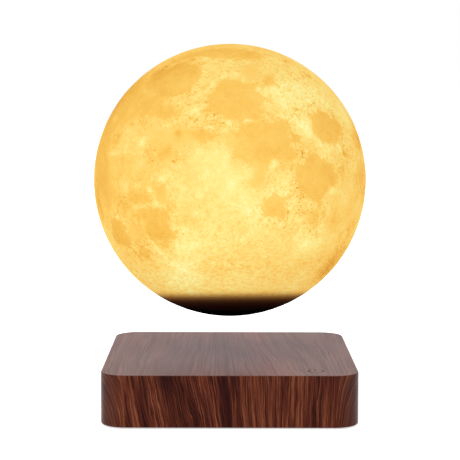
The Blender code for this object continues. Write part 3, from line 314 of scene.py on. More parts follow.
# longitude, latitude, crater radius, reach of the rays in degrees, how much lighter, number of rays
RAY_CRATERS = [
    (-11, -43, 1.5, 34, 0.24, 13), (-21.5, 10, 1.6, 13, 0.22, 11), (-39.5, 8.5, 0.8, 9, 0.2, 9),
    (-47, 24, 0.9, 7, 0.26, 7), (47, 16, 0.7, 8, 0.2, 7), (53, -32, 0.9, 12, 0.26, 11),
    (16, 16.5, 0.6, 2.2, 0.3, 5), (8, 14.5, 0.7, 2.4, 0.28, 5), (24, 17, 0.5, 2, 0.22, 5),
    (2, 23, 0.5, 5, 0.12, 7), (61, -9, 1.3, 7, 0.14, 9), (-12, -5, 0.6, 3, 0.22, 7),
    (-22, 22, 0.5, 2, 0.2, 5), (-13, 28, 0.4, 2, 0.16, 5), (-163, 22, 1.2, 20, 0.26, 13),
    (103, 36, 0.9, 18, 0.26, 11), (-141, -31, 1, 12, 0.2, 9), (171, -42, 0.9, 12, 0.2, 9),
    (-122, 31, 1.1, 12, 0.16, 9), (-110, 8, 0.9, 9, 0.18, 9), (125, -3, 0.9, 9, 0.16, 9),
    (156, 11, 0.8, 8, 0.16, 9), (-131, 57, 1, 10, 0.16, 9),
]

# places along a bright streak in half degrees, its width in degrees, how much lighter
STREAKS = [
    ([-51, -40, -50, -48, -47, -58, -43, -65, -35, -77, -26, -86], 0.7, 0.2),
    ([-49, -46, -48, -54, -45, -61, -39, -67, -32, -74], 0.5, 0.14),
    ([-84, -22, -82, -29, -80, -37], 0.6, 0.2),
    ([-91, 17, -67, 15, -42, 13], 0.7, 0.12),
    ([40, -61, 45, -58, 54, -50, 63, -44], 1.1, 0.16),
    ([80, 41, 94, 33, 104, 23, 117, 16, 136, 15], 1.6, 0.14),
    ([-35, -17, -31, -24, -30, -30], 0.9, 0.16),
    ([-59, -11, -60, -21], 0.8, 0.12),
    ([-23, 33, -17, 34, -12, 36], 0.5, 0.16),
    ([-2, 54, 11, 64, 27, 79, 46, 83], 0.8, 0.12),
    ([14, -1, 14, -20], 0.9, 0.08),
]

# longitude, latitude, radius in mm
CRATERS = [
    (-11, -43, 2.2), (-21.5, 10, 2.4), (-9, 52, 2.6), (-14, -58, 5.4), (61, -9, 3.2), (60, -25, 4.4),
    (26, -11, 2.6), (24, -13, 2.4), (23, -18, 2.6), (-2, -9, 2.6), (-3, -14, 2.2), (-2, -18, 2.5),
    (4, -12, 3.1), (5, -5, 3.4), (14, -42, 3), (6, -41, 3.2), (-4, 30, 2.1), (17, 50, 2.3), (16, 44, 1.8),
    (30, 32, 2.5), (55, 28, 3.2), (-40, -18, 2.8), (-69, -5, 4.2), (-55, -44, 5.2), (-69, -67, 6.6),
    (81, -27, 5), (129, -20, 4.4), (-157, -4, 9), (-128, 2, 10), (-152, -36, 10), (141, 6, 7),
    (150, -20, 6.4), (-94, -19, 8.5), (147, 27, 7.2), (106, 2, 6), (162, -34, 7.5), (-146, 57, 5.2),
    (104, 47, 4.5), (-105, 35, 5), (120, 56, 5.4), (-175, 40, 4.8), (-120, -42, 5.6), (110, -30, 5),
    (170, 22, 4.6), (-135, -18, 4.4), (46, -11, 1.5), (39, -30, 2.6), (45, -38, 2.8), (33, -38, 2.4),
    (30, -45, 2.6), (57, 54, 2.6), (43, 42, 2.2), (5, -26, 2.6), (1, -32, 2.6), (10, -31, 2.2),
]
LOOSE_CRATERS = 1500

# longitude, latitude, radius in degrees and strength of broken ground
RUGGED = [
    (46, -12, 7, 0.9), (52, -22, 7, 0.5), (71, 6, 6, 0.9), (66, 22, 7, 0.5), (46, 5, 5, 0.6),
    (42, 17, 5, 0.4), (2, 22, 6, 0.5), (7, 17, 6, 0.5), (-30, -33, 6, 0.6), (-42, -20, 5, 0.4),
    (40, -24, 8, 0.3), (10, -20, 12, 0.25), (15, -38, 16, 0.3), (60, 50, 10, 0.3), (15, 45, 10, 0.25),
    (86, -38, 10, 0.5), (150, 0, 34, 0.6), (-150, 0, 34, 0.6), (180, -50, 30, 0.6), (180, 60, 30, 0.5),
    (57, 37, 12, 0.8), (48, 24, 8, 0.6),
]
# longitude, latitude and radius of smooth ground
CALM = [(12, -3, 12), (16, -10, 10), (48, 12, 4), (-16, -42, 9), (-50, 0, 14), (-36, 0, 10), (62, -9, 4)]


def direction(lon, lat):
    """The unit vector of a place on the map."""
    lon, lat = math.radians(lon), math.radians(lat)
    flat = math.cos(lat)
    return np.array([flat * math.sin(lon), -flat * math.cos(lon), math.sin(lat)])


def path_of(numbers):
    """Longitude and latitude pairs in degrees, from a flat list in half degrees."""
    return np.reshape(numbers, (-1, 2)) / 2


def apart(places, lon, lat):
    """Degrees from each place to one longitude and latitude."""
    return np.degrees(np.arccos(np.clip(places @ direction(lon, lat), -1, 1)))


def spot(places, lon, lat, radius):
    """1 at a place, falling to 0 a few radii away."""
    return bell(apart(places, lon, lat), radius)


def flattened(places, middle):
    """Places near a middle, laid flat with their true distances and bearings, in degrees."""
    east = np.cross((0, 0, 1), middle)
    east /= np.linalg.norm(east)
    north = np.cross(middle, east)
    distance = np.arccos(np.clip(places @ middle, -1, 1))
    stretch = np.degrees(distance / np.maximum(np.sin(distance), 1e-6))
    return np.stack([places @ east * stretch, places @ north * stretch], 1)


def from_segment(points, start, end):
    """Distance from each point to a straight segment."""
    edge = end - start
    offset = points - start
    along = np.clip(offset @ edge / (edge @ edge), 0, 1)
    return np.hypot(*(offset - along[:, None] * edge).T)


def depth_inside(points, outline):
    """How far each point lies inside a closed outline; outside it is negative."""
    nearest = np.full(len(points), np.inf)
    inside = np.zeros(len(points), bool)
    x, y = points.T
    for start, end in zip(outline, np.roll(outline, -1, 0)):
        nearest = np.minimum(nearest, from_segment(points, start, end))
        run, rise = end - start
        if rise != 0:
            spans = (start[1] > y) != (end[1] > y)
            inside ^= spans & (x < start[0] + run * (y - start[1]) / rise)
    return np.where(inside, nearest, -nearest)


def map_turn():
    """The turn from the map's axes to the globe's."""
    turn = Matrix.Rotation(-math.radians(MAP_FRONT_LON), 3, "Z")
    tilt = Matrix.Rotation(math.radians(MAP_FRONT_LAT), 3, "X")
    roll = Matrix.Rotation(math.radians(MAP_ROLL), 3, "Y")
    return np.array(roll @ tilt @ turn)


DEGREE = MOON_RADIUS * math.pi / 180

# Seas: degrees around one that it acts on, metres over which two blend, and values away from all
SEA_REACH = 60
SEA_BLEND = 0.0015
FAR_FROM_SEAS = -0.02
LONE_TONE = 0.4

# Rays: aims in shares of their spacing, lengths in shares of the reach, widths in crater radii
RAY_SEED = 300
RAY_LIMIT = 1.3
RAY_SWERVE = 0.35
RAY_LENGTHS = (0.45, 1)
RAY_WIDTHS = (0.35, 0.6)
RAY_FADE = 0.7
RAY_STRENGTH = 0.75
RAY_PATCHES = (0.75, 0.7, 1.2)
HALO_RADIUS = 1.9
HALO_STRENGTH = 1.1
STREAK_REACH = 25
STREAK_PATCHES = (0.9, 0.8, 1.4)

# Broken ground: its share on land and at the shores, whose band lies outside them, in metres
PLAIN_RUGGED = 0.12
SHORE_RUGGED = 0.5
SHORE_OUT = 0.0025
SHORE_WIDTH = 0.0045
CALM_SHARE = 0.85

# Loose craters: radii in mm by a power law, and the share that the seas are spared
CRATER_SEED = 41
SMALLEST_CRATER = 0.55
CRATER_RANGE = 0.93
CRATER_POWER = -0.52
SPARED_SHARE = 0.8
SEA_CHECK_STEP = 7

# A crater's depth in mm by its radius in mm, and the radius from which it has a peak
CRATER_DEPTH = 0.085
DEPTH_POWER = 0.62
PEAK_FROM = 2.4
# its section: lengths in crater radii, heights as shares of the depth
CRATER_REACH = 1.9
BOWL_POWER = 2.6
RIM_PLACE = 1.02
RIM_WIDTH = 0.2
RIM_HEIGHT = 0.45
PEAK_WIDTH = 0.16
PEAK_HEIGHT = 0.35
APRON_HEIGHT = 0.08
BOWL_EDGE = 0.95
OLD_GROUND_LEFT = 0.5


def near_places(places, middle, degrees):
    return np.flatnonzero(places @ middle > math.cos(math.radians(degrees)))


def sea_map(places, wobble):
    """For each place: metres inside the nearest sea, that sea's tone and its edge's softness."""
    depth = np.full(len(places), FAR_FROM_SEAS)
    weight = np.full(len(places), 1e-9)
    tone, softness = weight * LONE_TONE, weight * MM
    for level, soft, outline in SEAS.values():
        corners = np.array([direction(*corner) for corner in path_of(outline)])
        middle = corners.mean(0) / np.linalg.norm(corners.mean(0))
        near = near_places(places, middle, SEA_REACH)
        inside = depth_inside(flattened(places[near], middle), flattened(corners, middle)) * DEGREE
        inside = inside + wobble[near]
        share = np.exp(inside / SEA_BLEND)
        tone[near] += share * level
        softness[near] += share * soft * MM
        weight[near] += share
        depth[near] = np.maximum(depth[near], inside)
    return depth, tone / weight, softness / weight


def patchy(rough, middle, swing, most):
    """A strength that comes and goes with the ground."""
    return np.clip(middle + swing * rough, 0, most)


def lightness_map(places, rough):
    """How much lighter than plain highland each place is: broad spots, rays of young craters, streaks."""
    light = np.zeros(len(places))
    for lon, lat, radius, change in SPOTS:
        light += change * spot(places, lon, lat, radius)
    for number, (lon, lat, radius, reach, change, rays) in enumerate(RAY_CRATERS):
        away = apart(places, lon, lat)
        near = np.flatnonzero(away < reach * RAY_LIMIT)
        away = away[near]
        flat = flattened(places[near], direction(lon, lat))
        bearing = np.arctan2(flat[:, 1], flat[:, 0])
        draw = np.random.default_rng(RAY_SEED + number)
        fan = np.zeros(len(near))
        for ray in range(rays):
            aim = math.tau * (ray + draw.uniform(-RAY_SWERVE, RAY_SWERVE)) / rays
            length = reach * draw.uniform(*RAY_LENGTHS)
            off = np.abs((bearing - aim + math.pi) % math.tau - math.pi) * away
            width = radius * draw.uniform(*RAY_WIDTHS)
            fade = np.clip(1 - away / length, 0, 1) ** RAY_FADE
            fan = np.maximum(fan, bell(off, width) * fade)
        rayed = fan * patchy(rough[near], *RAY_PATCHES) * RAY_STRENGTH
        light[near] += change * np.maximum(rayed, bell(away, radius * HALO_RADIUS) * HALO_STRENGTH)
    for numbers, width, change in STREAKS:
        path = path_of(numbers)
        middle = direction(*path.mean(0))
        near = near_places(places, middle, STREAK_REACH)
        flat = flattened(places[near], middle)
        line = flattened(np.array([direction(*p) for p in path]), middle)
        off = np.full(len(near), np.inf)
        for start, end in zip(line, line[1:]):
            off = np.minimum(off, from_segment(flat, start, end))
        light[near] += change * bell(off, width) * patchy(rough[near], *STREAK_PATCHES)
    return light


def ruggedness(places, depth):
    """How broken the ground is: most round the seas' shores and in a few marked places."""
    rugged = PLAIN_RUGGED + SHORE_RUGGED * bell(depth + SHORE_OUT, SHORE_WIDTH)
    for lon, lat, radius, strength in RUGGED:
        rugged += strength * spot(places, lon, lat, radius)
    for lon, lat, radius in CALM:
        rugged *= 1 - CALM_SHARE * spot(places, lon, lat, radius)
    return rugged


def crater_list(in_sea):
    """Direction and radius in mm of every crater, the placed ones first and then the loose ones."""
    craters = [(direction(lon, lat), radius) for lon, lat, radius in CRATERS]
    draw = np.random.default_rng(CRATER_SEED)
    for _ in range(LOOSE_CRATERS):
        aim = draw.normal(size=3)
        aim /= np.linalg.norm(aim)
        radius = SMALLEST_CRATER * (1 - draw.uniform(0, CRATER_RANGE)) ** CRATER_POWER
        if in_sea(aim) and draw.uniform() < SPARED_SHARE:
            continue
        craters.append((aim, radius))
    return craters


def crater_relief(places, craters):
    """Height in mm that the craters' bowls and rims add."""
    height = np.zeros(len(places))
    for aim, radius in craters:
        reach = radius * MM / MOON_RADIUS * CRATER_REACH
        closeness = places @ aim
        near = np.flatnonzero(closeness > math.cos(reach))
        if len(near) == 0:
            continue
        away = np.arccos(np.clip(closeness[near], -1, 1)) * MOON_RADIUS / MM / radius
        deep = CRATER_DEPTH * radius**DEPTH_POWER
        bowl = -deep * np.clip(1 - away**BOWL_POWER, 0, 1)
        rim = RIM_HEIGHT * deep * bell(away - RIM_PLACE, RIM_WIDTH)
        peak = PEAK_HEIGHT * deep * bell(away, PEAK_WIDTH) * (radius > PEAK_FROM)
        apron = APRON_HEIGHT * deep * np.maximum(CRATER_REACH - away, 0) * (away > 1)
        before = height[near] * np.where(away < BOWL_EDGE, OLD_GROUND_LEFT, 1)
        height[near] = before + bowl + rim + peak + apron
    return height


# seed, scale, layers and how much of its strength each layer hands on
BROAD_GROUND = (5, 6, 5, 0.55)
FINE_GROUND = (6, 26, 4, 0.6)
SHORE_GROUND = (7, 9, 4, 0.6)
SHORE_WOBBLE = 0.45

# Heights in mm of the land over the seas, and the metres over which it rises
LAND_EDGE = 0.0015
LAND_HEIGHT = 0.1
BROAD_HEIGHT = 0.07
FINE_HEIGHT = 0.05
GROUND_DROP = 0.06

# Tones: plain land, its mottle on the near side, and what the far side adds
HIGHLAND_TONE = 0.6
NEAR_MOTTLE = 0.09
FAR_MOTTLE = 0.13
FAR_DARKER = 0.05
FAR_SIDE = (0.15, 0.6)
SEA_LIGHT_SHARE = 0.5
SEA_MOTTLE = 0.03

# The line in metres where the glow ends
SHADOW_HEIGHT = -0.0703
SHADOW_AT = 0.0563
SHADOW_RISE = 0.148
SHADOW_ROUND = 0.015
SHADOW_TILT = 0.011
# height over that line in mm, width of the band and how much lighter it is
GLOW_BANDS = [(5, 9, 0.09), (25, 8, -0.06)]


def shadow_line(x, y):
    """Height over the moon's centre where the glow ends. It rises to the front and the back."""
    rise = np.hypot(y, SHADOW_ROUND) - math.hypot(SHADOW_AT, SHADOW_ROUND)
    return SHADOW_HEIGHT + SHADOW_RISE * rise + SHADOW_TILT * x


def globe_faces():
    """Quads between the rings, and a fan at the outer and at the inner pole."""
    rings = OUTER_RINGS + INNER_RINGS
    first = 1 + np.arange(rings - 1)[:, None] * GLOBE_SEGMENTS
    here = np.arange(GLOBE_SEGMENTS)[None, :]
    after = (here + 1) % GLOBE_SEGMENTS
    low, high = first, first + GLOBE_SEGMENTS
    quads = np.stack([low + here, high + here, high + after, low + after], 2).reshape(-1, 4)
    last = 1 + (rings - 1) * GLOBE_SEGMENTS
    tip = last + GLOBE_SEGMENTS
    faces = quads.tolist()
    for i in range(GLOBE_SEGMENTS):
        j = (i + 1) % GLOBE_SEGMENTS
        faces.append([0, 1 + i, 1 + j])
        faces.append([last + i, tip, last + j])
    return faces


def moon_globe():
    """The shade: an outer surface with the moon's relief, a rim at the mouth and a plain inner surface."""
    inner_radius = MOON_RADIUS - SHADE_WALL
    outer_end = math.pi - math.asin(MOUTH_RADIUS / MOON_RADIUS)
    inner_end = math.pi - math.asin(MOUTH_RADIUS / inner_radius)
    polar = np.concatenate([
        np.linspace(0, outer_end, OUTER_RINGS + 1)[1:],
        np.linspace(inner_end, 0, INNER_RINGS + 1)[:-1],
    ])
    turn = np.arange(GLOBE_SEGMENTS) * math.tau / GLOBE_SEGMENTS
    ring = np.stack([
        np.outer(np.sin(polar), np.cos(turn)),
        np.outer(np.sin(polar), np.sin(turn)),
        np.outer(np.cos(polar), np.ones(GLOBE_SEGMENTS)),
    ], 2).reshape(-1, 3)
    globe = np.concatenate([[(0, 0, 1)], ring, [(0, 0, 1)]])
    outer_count = 1 + OUTER_RINGS * GLOBE_SEGMENTS
    is_outer = np.arange(len(globe)) < outer_count

    places = globe @ map_turn()
    broad = layered_noise(places, *BROAD_GROUND)
    fine = layered_noise(places, *FINE_GROUND)
    wobble = (SHORE_WOBBLE * layered_noise(places, *SHORE_GROUND) + SHORE_WOBBLE * fine) * MM
    depth, sea_tone, softness = sea_map(places, wobble)
    light = lightness_map(places, fine)

    def in_sea(aim):
        return depth[np.argmax(places[:outer_count:SEA_CHECK_STEP] @ aim) * SEA_CHECK_STEP] > 0

    relief = crater_relief(places, crater_list(in_sea))
    land = smooth(-depth, -LAND_EDGE, LAND_EDGE)
    height = relief + land * (LAND_HEIGHT + BROAD_HEIGHT * broad + FINE_HEIGHT * fine) - GROUND_DROP
    from_mouth = (outer_end - np.concatenate([[0], np.repeat(polar, GLOBE_SEGMENTS), [0]])) * MOON_RADIUS
    height *= smooth(from_mouth, 0, RIM_FADE)
    radius = MOON_RADIUS - RELIEF_SINK + np.minimum(height * MM, RELIEF_SINK)
    radius = np.where(is_outer, radius, inner_radius)
    points = globe * radius[:, None] + (0, 0, MOON_CENTRE)

    obj = mesh_object("moon_globe", points.tolist(), globe_faces())
    obj.data.shade_smooth()
    obj.data.set_sharp_from_angle(angle=MOUTH_SHARP)
    above = (points[:, 2] - MOON_CENTRE - shadow_line(points[:, 0], points[:, 1])) / MM
    light += sum(change * bell(above - level, width) for level, width, change in GLOW_BANDS)
    far = smooth(-(places @ direction(0, 0)), *FAR_SIDE)
    mottle = NEAR_MOTTLE + FAR_MOTTLE * far
    values = {
        "highland_tone": HIGHLAND_TONE + light + mottle * broad - FAR_DARKER * far,
        "sea_depth": depth / MM,
        "sea_tone": sea_tone + SEA_LIGHT_SHARE * light + SEA_MOTTLE * broad,
        "sea_softness": softness / MM,
        "relief": relief * (1 + far),
        "ruggedness": np.clip(ruggedness(places, depth), 0, 1),
        "above_shadow": above,
    }
    for name, value in values.items():
        attribute = obj.data.attributes.new(name, "FLOAT", "POINT")
        attribute.data.foreach_set("value", value.astype(np.float32))
    return obj


# Node materials


class Shader:
    """A node material being built. The methods return sockets; a value may be a number or a socket."""

    def __init__(self, name):
        self.material = bpy.data.materials.new(name)
        self.material.use_nodes = True
        self.tree = self.material.node_tree
        self.tree.nodes.clear()
        self.surface = self.node("BsdfPrincipled")
        self.node("OutputMaterial", {0: self.surface.outputs[0]})
        self.place = self.node("TexCoord").outputs["Object"]

    def node(self, kind, inputs=None, **settings):
        """A new node with the given settings; inputs are sockets or numbers by name or number."""
        made = self.tree.nodes.new("ShaderNode" + kind)
        for name, value in settings.items():
            setattr(made, name, value)
        for key, value in (inputs or {}).items():
            self.put(made.inputs[key], value)
        return made

    def put(self, socket, value):
        if isinstance(value, bpy.types.NodeSocket):
            self.tree.links.new(value, socket)
        else:
            socket.default_value = value

    def set(self, **values):
        for name, value in values.items():
            self.put(self.surface.inputs[name.replace("_", " ")], value)

    def maths(self, operation, *values, clamp=False):
        return self.node("Math", dict(enumerate(values)), operation=operation, use_clamp=clamp).outputs[0]

    def plus(self, first, second, clamp=False):
        return self.maths("ADD", first, second, clamp=clamp)

    def minus(self, first, second, clamp=False):
        return self.maths("SUBTRACT", first, second, clamp=clamp)

    def times(self, first, second):
        return self.maths("MULTIPLY", first, second)

    def off(self, value, middle):
        """How far a value is from a middle, without its sign."""
        return self.maths("ABSOLUTE", self.minus(value, middle))

    def total(self, *parts, middle=0):
        """The sum of (value - middle) * weight over the parts."""
        result = None
        for value, weight in parts:
            if middle:
                value = self.minus(value, middle)
            value = self.times(value, weight)
            result = value if result is None else self.plus(result, value)
        return result

    def vector(self, operation, *values):
        return self.node("VectorMath", dict(enumerate(values)), operation=operation).outputs[0]

    def split(self, value):
        return self.node("SeparateXYZ", {0: value}).outputs[:3]

    def joined(self, x, y, z):
        return self.node("CombineXYZ", {0: x, 1: y, 2: z}).outputs[0]

    def attribute(self, name):
        return self.node("Attribute", attribute_name=name).outputs["Fac"]

    def noise(self, where, scale, detail=4, roughness=0.5, distortion=0):
        inputs = {"Vector": where, "Scale": scale, "Detail": detail}
        inputs.update(Roughness=roughness, Distortion=distortion)
        return self.node("TexNoise", inputs).outputs[0]

    def cells(self, where, scale, feature="F1", randomness=1):
        inputs = {"Vector": where, "Scale": scale, "Randomness": randomness}
        return self.node("TexVoronoi", inputs, feature=feature).outputs[0]

    def span(self, value, low, high, new_low=0, new_high=1, kind="LINEAR"):
        limits = dict(enumerate((value, low, high, new_low, new_high)))
        return self.node("MapRange", limits, interpolation_type=kind, clamp=True).outputs[0]

    def spread(self, noise, low=0, high=1):
        """The usual range of a noise, opened to new limits."""
        return self.span(noise, 0.3, 0.7, low, high)

    def ramp(self, value, stops, kind="LINEAR"):
        """stops are (place, colour) pairs; a colour is linear red, green and blue, or one number."""
        made = self.node("ValToRGB", {0: value})
        made.color_ramp.interpolation = kind
        points = made.color_ramp.elements
        while len(points) < len(stops):
            points.new(0.5)
        for point, (place, colour) in zip(points, stops):
            point.position = place
            three = colour if isinstance(colour, tuple) else (colour,) * 3
            point.color = (*three, 1)
        return made.outputs[0]

    def mix(self, share, first, second, blend="MIX"):
        first, second = ((*value, 1) if isinstance(value, tuple) else value for value in (first, second))
        inputs = {0: share, 6: first, 7: second}
        return self.node("Mix", inputs, data_type="RGBA", blend_type=blend).outputs[2]

    def tinted(self, first, second):
        return self.mix(1, first, second, "MULTIPLY")

    def between(self, share, first, second):
        return self.node("Mix", {0: share, 2: first, 3: second}, data_type="FLOAT").outputs[0]

    def bump(self, height, distance):
        made = self.node("Bump", {"Strength": 1, "Distance": distance, "Height": height})
        self.set(Normal=made.outputs[0])


def linear(red, green, blue):
    """A display colour from 0 to 255 as linear light."""
    def one(value):
        value /= 255
        return value / 12.92 if value <= 0.04045 else ((value + 0.055) / 1.055) ** 2.4
    return one(red), one(green), one(blue)


def scaled(colour, factor):
    return tuple(part * factor for part in colour)


GLOW_COLOURS = [
    (0, linear(214, 146, 50)), (0.2, linear(240, 183, 77)), (0.4, linear(252, 203, 99)),
    (0.6, linear(253, 217, 120)), (0.8, linear(254, 234, 142)), (1, linear(255, 246, 168)),
]
# height over the shadow line in mm, and what share of red, green and blue is left
SHADOW_COLOURS = [
    (-9.6, (0.003, 0.002, 0.006)), (-6.4, (0.0072, 0.003, 0.007)), (-4.8, (0.015, 0.006, 0.012)),
    (-3.2, (0.028, 0.0133, 0.019)), (-1.6, (0.076, 0.042, 0.046)), (0, (0.217, 0.151, 0.139)),
    (1.5, (0.52, 0.42, 0.36)), (3.1, (0.86, 0.8, 0.75)), (4.6, (0.98, 0.96, 0.9)), (6.2, (1, 1, 1)),
]
SHADOW_SPAN = 16
SHADOW_LOW = -9.6
# the shares of red, green and blue that come from inside, and those that the plastic reflects, painted from
# the same glow
GLOW_SHARE = (0.66, 0.54, 0.52)
REFLECT_SHARE = (0.23, 0.3, 0.31)
# metres under the moon's centre between which the layer lines come in
LOW_FROM = 0.018
LOW_TO = 0.055


def moon_material():
    """Glowing plastic: seas, land, pits and layer lines make a tone, and the tone picks the colour."""
    s = Shader("lit moon plastic")
    fine = s.noise(s.place, 380, 6, 0.62, 0.3)
    small = s.noise(s.place, 1100, 4, 0.6)
    patch = s.noise(s.place, 120, 5, 0.6, 0.6)

    soft = s.attribute("sea_softness")
    edge = s.total((fine, 12), (small, 8), (patch, s.times(soft, 6)), middle=0.5)
    edge = s.plus(edge, s.attribute("sea_depth"))
    sea = s.span(edge, s.times(soft, -1), soft, kind="SMOOTHSTEP")

    rugged = s.attribute("ruggedness")
    z = s.split(s.place)[2]
    low_down = s.span(z, MOON_CENTRE - LOW_FROM, MOON_CENTRE - LOW_TO)
    rough = s.total((patch, s.between(low_down, 0.5, 0.12)), (fine, 0.3), (small, 0.45), middle=0.5)
    flecks = s.span(s.noise(s.vector("ADD", s.place, (0.3, 0.1, 0.7)), 560, 5, 0.68, 0.4), 0.545, 0.64)
    specks = s.span(s.noise(s.vector("ADD", s.place, (0.9, 0.5, 0.2)), 620, 5, 0.68, 0.4), 0.545, 0.64)
    crisp = s.minus(
        s.times(flecks, s.between(rugged, 0.03, 0.2)), s.times(specks, s.between(rugged, 0.05, 0.5)))
    highland = s.total((s.attribute("highland_tone"), 1), (rough, 1), (crisp, 1))
    calm = s.times(rough, 0.62)
    tone = s.between(sea, highland, s.plus(s.attribute("sea_tone"), calm))

    # Layer lines of the print, broken up and strongest low on the globe
    streak_place = s.vector("MULTIPLY", s.place, (340, 340, 860))
    streaks = s.span(s.noise(streak_place, 1, 3, 0.7, 0.3), 0.51, 0.61)
    streaks = s.times(streaks, s.times(low_down, 0.26))
    tone = s.minus(tone, streaks)

    # Pits too small for the mesh
    rings = []
    for scale, width in ((210, 0.13), (390, 0.2)):
        away = s.off(s.cells(s.place, scale), 0.32)
        chosen = s.span(s.noise(s.place, scale * 0.8, 1), 0.5, 0.56)
        rings.append(s.times(s.span(away, 0, width, 1, 0), chosen))
    pitted = s.maths("MAXIMUM", *rings)
    pitted = s.times(pitted, s.minus(1, s.times(sea, 0.8)))
    tone = s.minus(tone, s.times(pitted, s.between(rugged, 0.05, 0.34)))
    tone = s.minus(tone, s.times(s.attribute("relief"), 0.55), clamp=True)

    glow = s.ramp(tone, GLOW_COLOURS)
    level = s.span(s.attribute("above_shadow"), SHADOW_LOW, SHADOW_LOW + SHADOW_SPAN)
    stops = [((height - SHADOW_LOW) / SHADOW_SPAN, colour) for height, colour in SHADOW_COLOURS]
    glow = s.tinted(glow, s.ramp(level, stops))
    # the base colour takes the glow too: its pattern and the painted shadow below the line are painted into
    # it
    s.set(Base_Color=s.tinted(glow, REFLECT_SHARE))
    s.set(Emission_Color=s.tinted(glow, GLOW_SHARE), Emission_Strength=1)
    s.set(Specular_IOR_Level=0.004, Roughness=s.spread(fine, 0.62, 0.82))
    height = s.plus(s.times(fine, 0.6), s.times(small, 0.25))
    height = s.minus(height, s.times(pitted, 0.25))
    s.bump(s.minus(height, streaks), 3.5e-4)
    return s.material


# Wood: place across the grain in mm and tone, from the darkest streak to the lightest
FIGURE = [
    (-81, 0.55), (-70, 0.66), (-61, 0.42), (-57, 0.08), (-52, 0.82), (-49.5, 0.5), (-47, 0.72), (-43, 0.04),
    (-38, 0), (-33, 0.14), (-28, 0.42), (-24, 0.32), (-18, 0.6), (-11, 0.46), (-8, 0.04), (-3.5, 0.02),
    (1, 0.4), (5, 0.26), (7, 0.7), (12, 0.52), (20, 0.64), (25, 0.54), (29, 0.74), (33, 0.52), (41, 0.6),
    (45.5, 0.8), (49.5, 0.32), (56, 0.34), (59.5, 0.52), (64, 0.12), (72, 0.66), (81, 0.42),
]
WOOD_COLOURS = [
    (0, linear(42, 5, 2)), (0.25, linear(64, 19, 8)), (0.5, linear(86, 36, 21)),
    (0.75, linear(107, 49, 29)), (1, linear(136, 77, 51)),
]
WOOD_ALBEDO = 0.55
# The top is painted lighter and greyer than the sides: a painted sheen hides most of the figure
# and a painted lift offsets the moon's shade; its film lines run between a darker and a lighter tint
TOP_SHEEN_VEIL = 0.87
TOP_SHEEN_COLOUR = scaled(linear(86, 52, 46), WOOD_ALBEDO)
TOP_LIFT_DARKER = (1.65, 1.2, 1.15)
TOP_LIFT_LIGHTER = (2.8, 3.2, 3.25)
# a warmer band right of the middle, in mm across the grain; towards the front a cooler tint, painted sheen
WARM_BAND = 30
TOP_WARM = (1.31, 1.1, 1.07)
TOP_FRONT_SHEEN = (1.07, 1.28, 1.34)
PLAIN_TINT = (1, 1, 1)
# a painted highlight along the top's rounded edge, and painted sheen down the corners
EDGE_HIGHLIGHT = scaled(linear(152, 118, 112), WOOD_ALBEDO)
EDGE_HIGHLIGHT_VEIL = 0.8
CORNER_SHEEN = scaled(linear(74, 55, 52), WOOD_ALBEDO)
CORNER_SHEEN_VEIL = 0.26
INNER_HALF = (HALF_BASE - BASE_CORNER) / MM
FIGURE_HALF = 125


